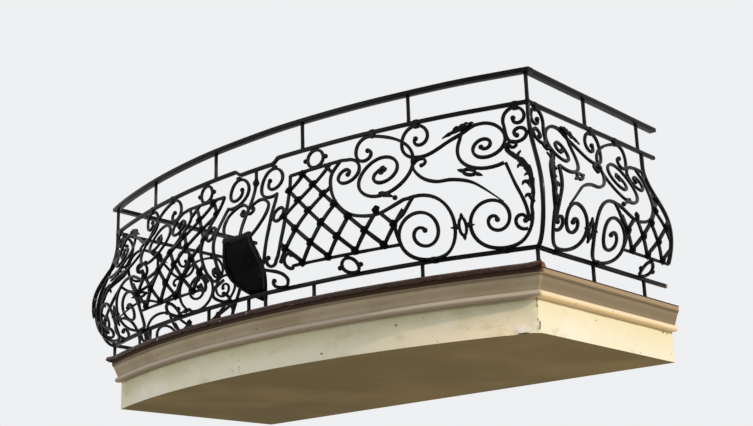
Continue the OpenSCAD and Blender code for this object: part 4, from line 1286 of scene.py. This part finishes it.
# %% Moulded plaster
def moulded_plaster():
    """Grimy beige of the hollow and the half round, with two soft lines of dirt, painted shade with some
    soot under the lip, and painted shade and bounce light under the roll.
    """
    f = Finish("grimy_and_shaded_moulding", Metallic=0.0, IOR=1.45, Specular_IOR_Level=0.3)
    cloud, fine = f.noise(2.2, 5, 0.6), f.noise(30, 4)
    side, hollowed = f.y.between(-1.44, -1.39), f.z.between(0.036, 0.046)
    round_top = f.mix(side, colour(173, 161, 143), colour(208, 194, 168))
    # Painted shade on the roll's lower half on the front, and painted warm bounce light on it on the sides.
    roll_underside_shade_and_bounce = f.mix(side, colour(118, 104, 82), colour(214, 184, 132))
    rolled = f.mix((1 - f.z.between(0.010, 0.024)) * 0.75, round_top, roll_underside_shade_and_bounce)
    front = f.mix(cloud.between(0.4, 0.62), colour(158, 145, 121), colour(146, 132, 107))
    plain = f.mix(side, front, colour(124, 112, 92))
    run = f.z + (cloud - 0.5) * 0.014
    line = run.between(0.104, 0.112) * (1 - run.between(0.118, 0.125))
    line = line + run.between(0.052, 0.072) * (1 - run.between(0.084, 0.102)) * 0.45
    lined = f.mix(line * 0.6, plain, colour(96, 80, 54))
    # Painted shade: the hollow darkens upwards under the lip, with a little soot; much less on the sides.
    shade_and_soot_under_lip = f.z.between(0.085, 0.128) * (0.30 - side * 0.25)
    hollow_part = f.mix(shade_and_soot_under_lip, lined, colour(58, 44, 32))
    both = f.mix(hollowed, rolled, hollow_part)
    spot = f.noise(24, 2, 0.5, (1, 1, 2), (1, 3, 2)).between(0.70, 0.73)
    return f.paint(
        Base_Color=f.mix(spot * 0.5, both, colour(84, 70, 52)),
        Roughness=0.84 + fine * 0.1,
        bump=fine * 0.0006 + line * 0.0006 + cloud * 0.002,
    )


moulding_grime_and_shade = moulded_plaster()
print("moulded plaster:", len(moulding_grime_and_shade.node_tree.nodes), "nodes")

# %% [markdown]
# The flashing's brown paint has worn to bare sheet along its upper edge, and on the sides
# it is a faded tan with brown lines.

# %% Flashing
def flashing_paint():
    """Brown paint on the front's sheet and faded tan on the sides'."""
    f = Finish("flashing_paint", Metallic=0.0, IOR=1.5, Specular_IOR_Level=0.18)
    worn, fine = f.noise(11, 4), f.noise(60, 3, 0.6, (1, 1, 0.4))
    upper = f.z.between(0.162, 0.170) * worn.between(0.42, 0.56)
    brown = f.mix(fine.between(0.35, 0.7), colour(40, 23, 16), colour(62, 41, 33))
    bare = f.mix(upper * 0.7, brown, colour(104, 84, 75))
    splash = f.noise(34, 2, 0.5, (1, 1, 0.5), (4, 4, 0)).between(0.70, 0.72)
    bare = f.mix(splash * 0.7, bare, colour(196, 192, 186))
    tan = f.mix(worn.between(0.45, 0.6), colour(112, 64, 48), colour(96, 78, 58))
    return f.paint(
        Base_Color=f.mix(abs(f.x).between(1.752, 1.756) * (f.y > -1.45), bare, tan),
        Roughness=0.45 + fine * 0.25,
        bump=worn * 0.002 + fine * 0.0005,
    )


sheet = flashing_paint()
print("flashing paint:", len(sheet.node_tree.nodes), "nodes")

# %% [markdown]
# The floor can't be seen from the street, so rough grey screed is a guess. Every slot of
# the CAD record then gets its finish, on the plain solids and on the pieces that stand for
# them.

# %% Screed and slots
def screed():
    """Rough grey floor."""
    f = Finish("floor_screed", Metallic=0.0)
    cloud, grit = f.noise(3, 5), f.noise(90, 3)
    return f.paint(
        Base_Color=f.mix(cloud.between(0.35, 0.65), colour(150, 144, 132), colour(122, 116, 106)),
        Roughness=0.85 + grit * 0.1,
        bump=grit * 0.0012 + cloud * 0.002,
    )


finishes = {"iron": iron_black, "iron_worn": iron_dull, "flashing": sheet, "plaster": plaster,
            "moulding": moulding_grime_and_shade, "screed": screed()}
slots = {part["node"]: part["material_slot"] for part in frame["record"]["subparts"]}
for node, obj in [*frame["nodes"].items(), *dressed.items()]:
    obj.data.materials.clear()
    obj.data.materials.append(finishes[slots[node]])
print("finishes:", sorted(finishes))

# %% [markdown]
# ## Studio
#
# The balcony hangs high above a pale floor, as it is seen from the street. The world is a
# soft grey light, but camera, mirror and glass rays see a plain pale colour in it.

# %% Studio
def studio_floor():
    """Large pale floor below the camera."""
    mesh = bpy.data.meshes.new("studio_floor")
    s, z = 30.0, -3.0
    mesh.from_pydata([(-s, -s, z), (s, -s, z), (s, s, z), (-s, s, z)], [], [(0, 1, 2, 3)])
    obj = bpy.data.objects.new("studio_floor", mesh)
    bpy.context.scene.collection.objects.link(obj)
    f = Finish("studio_pale")
    grain = f.noise(2.0, 2)
    pale = f.mix(grain, colour(228, 228, 226), colour(233, 233, 231))
    obj.data.materials.append(f.paint(Base_Color=pale, Roughness=0.8 + grain * 0.1))


def studio_world():
    """Soft grey light, and a plain pale colour for camera, mirror and glass rays."""
    world = bpy.data.worlds.new("studio_world")
    world.use_nodes = True
    tree = world.node_tree
    tree.nodes.clear()
    rays = tree.nodes.new("ShaderNodeLightPath")
    soft, pale = tree.nodes.new("ShaderNodeBackground"), tree.nodes.new("ShaderNodeBackground")
    for light, tint, strength in ((soft, (0.93, 0.96, 1.0, 1), 0.62), (pale, (0.86, 0.87, 0.88, 1), 1.0)):
        light.inputs["Color"].default_value, light.inputs["Strength"].default_value = tint, strength
    either, seen = tree.nodes.new("ShaderNodeMath"), tree.nodes.new("ShaderNodeMath")
    either.operation = seen.operation = "MAXIMUM"
    mix, out = tree.nodes.new("ShaderNodeMixShader"), tree.nodes.new("ShaderNodeOutputWorld")
    tree.links.new(rays.outputs["Is Camera Ray"], either.inputs[0])
    tree.links.new(rays.outputs["Is Glossy Ray"], either.inputs[1])
    tree.links.new(either.outputs[0], seen.inputs[0])
    tree.links.new(rays.outputs["Is Transmission Ray"], seen.inputs[1])
    tree.links.new(seen.outputs[0], mix.inputs["Fac"])
    tree.links.new(soft.outputs[0], mix.inputs[1])
    tree.links.new(pale.outputs[0], mix.inputs[2])
    tree.links.new(mix.outputs[0], out.inputs[0])
    bpy.context.scene.world = world
    print("world nodes:", len(tree.nodes))


studio_floor()
studio_world()

# %% [markdown]
# A low warm sun on the right lights the side face and grazes the front beside the corner.
# A large soft disk in front keeps the iron's shadows open.

# %% Lamps
def lamp(name, kind, energy, rgb, at, towards, **settings):
    """Lamp at a place, turned towards another."""
    data = bpy.data.lights.new(name, kind)
    data.energy, data.color = energy, rgb
    for key, value in settings.items():
        setattr(data, key, value)
    obj = bpy.data.objects.new(name, data)
    bpy.context.scene.collection.objects.link(obj)
    obj.location = at
    obj.rotation_mode = "QUATERNION"
    obj.rotation_quaternion = (Vector(towards) - Vector(at)).to_track_quat("-Z", "Y")
    print(f"{name}: {energy} at {at}")


lamp("low_sun", "SUN", 3.1, (1.0, 0.88, 0.72), (9.05, 0.55, 4.23), (0, 0, 0), angle=0.02)
lamp("front_soft", "AREA", 90, (0.9, 0.95, 1.0), (-2.4, -7.5, 2.5), (0, -1.3, 0.3), shape="DISK", size=4.0)

# %% [markdown]
# ## Camera
#
# The photograph was taken from the street, below and to the right of the balcony. The
# camera's place, turn and focal length were fitted to it for a frame of 753 by 426.

# %% Camera
def photo_camera():
    """Camera from its place and its yaw, pitch and roll in radians."""
    yaw, pitch, roll = -0.7105, 0.2892, -0.0333
    ahead = np.array([np.sin(yaw) * np.cos(pitch), np.cos(yaw) * np.cos(pitch), np.sin(pitch)])
    right = np.array([np.cos(yaw), -np.sin(yaw), 0])
    up = np.cross(right, ahead)
    right, up = np.cos(roll) * right + np.sin(roll) * up, -np.sin(roll) * right + np.cos(roll) * up
    data = bpy.data.cameras.new("photo_camera")
    data.sensor_width, data.lens = 36.0, 36.0 * 1276.4 / 753
    data.clip_end = 200
    obj = bpy.data.objects.new("photo_camera", data)
    bpy.context.scene.collection.objects.link(obj)
    turn = Matrix(np.stack([right, up, -ahead], 1).tolist()).to_4x4()
    obj.matrix_world = Matrix.Translation((5.2206, -6.7376, -1.4087)) @ turn
    bpy.context.scene.camera = obj


photo_camera()
print(f"lens {bpy.context.scene.camera.data.lens:.1f} mm")

# %% View transform
bpy.context.scene.view_settings.view_transform = "Standard"
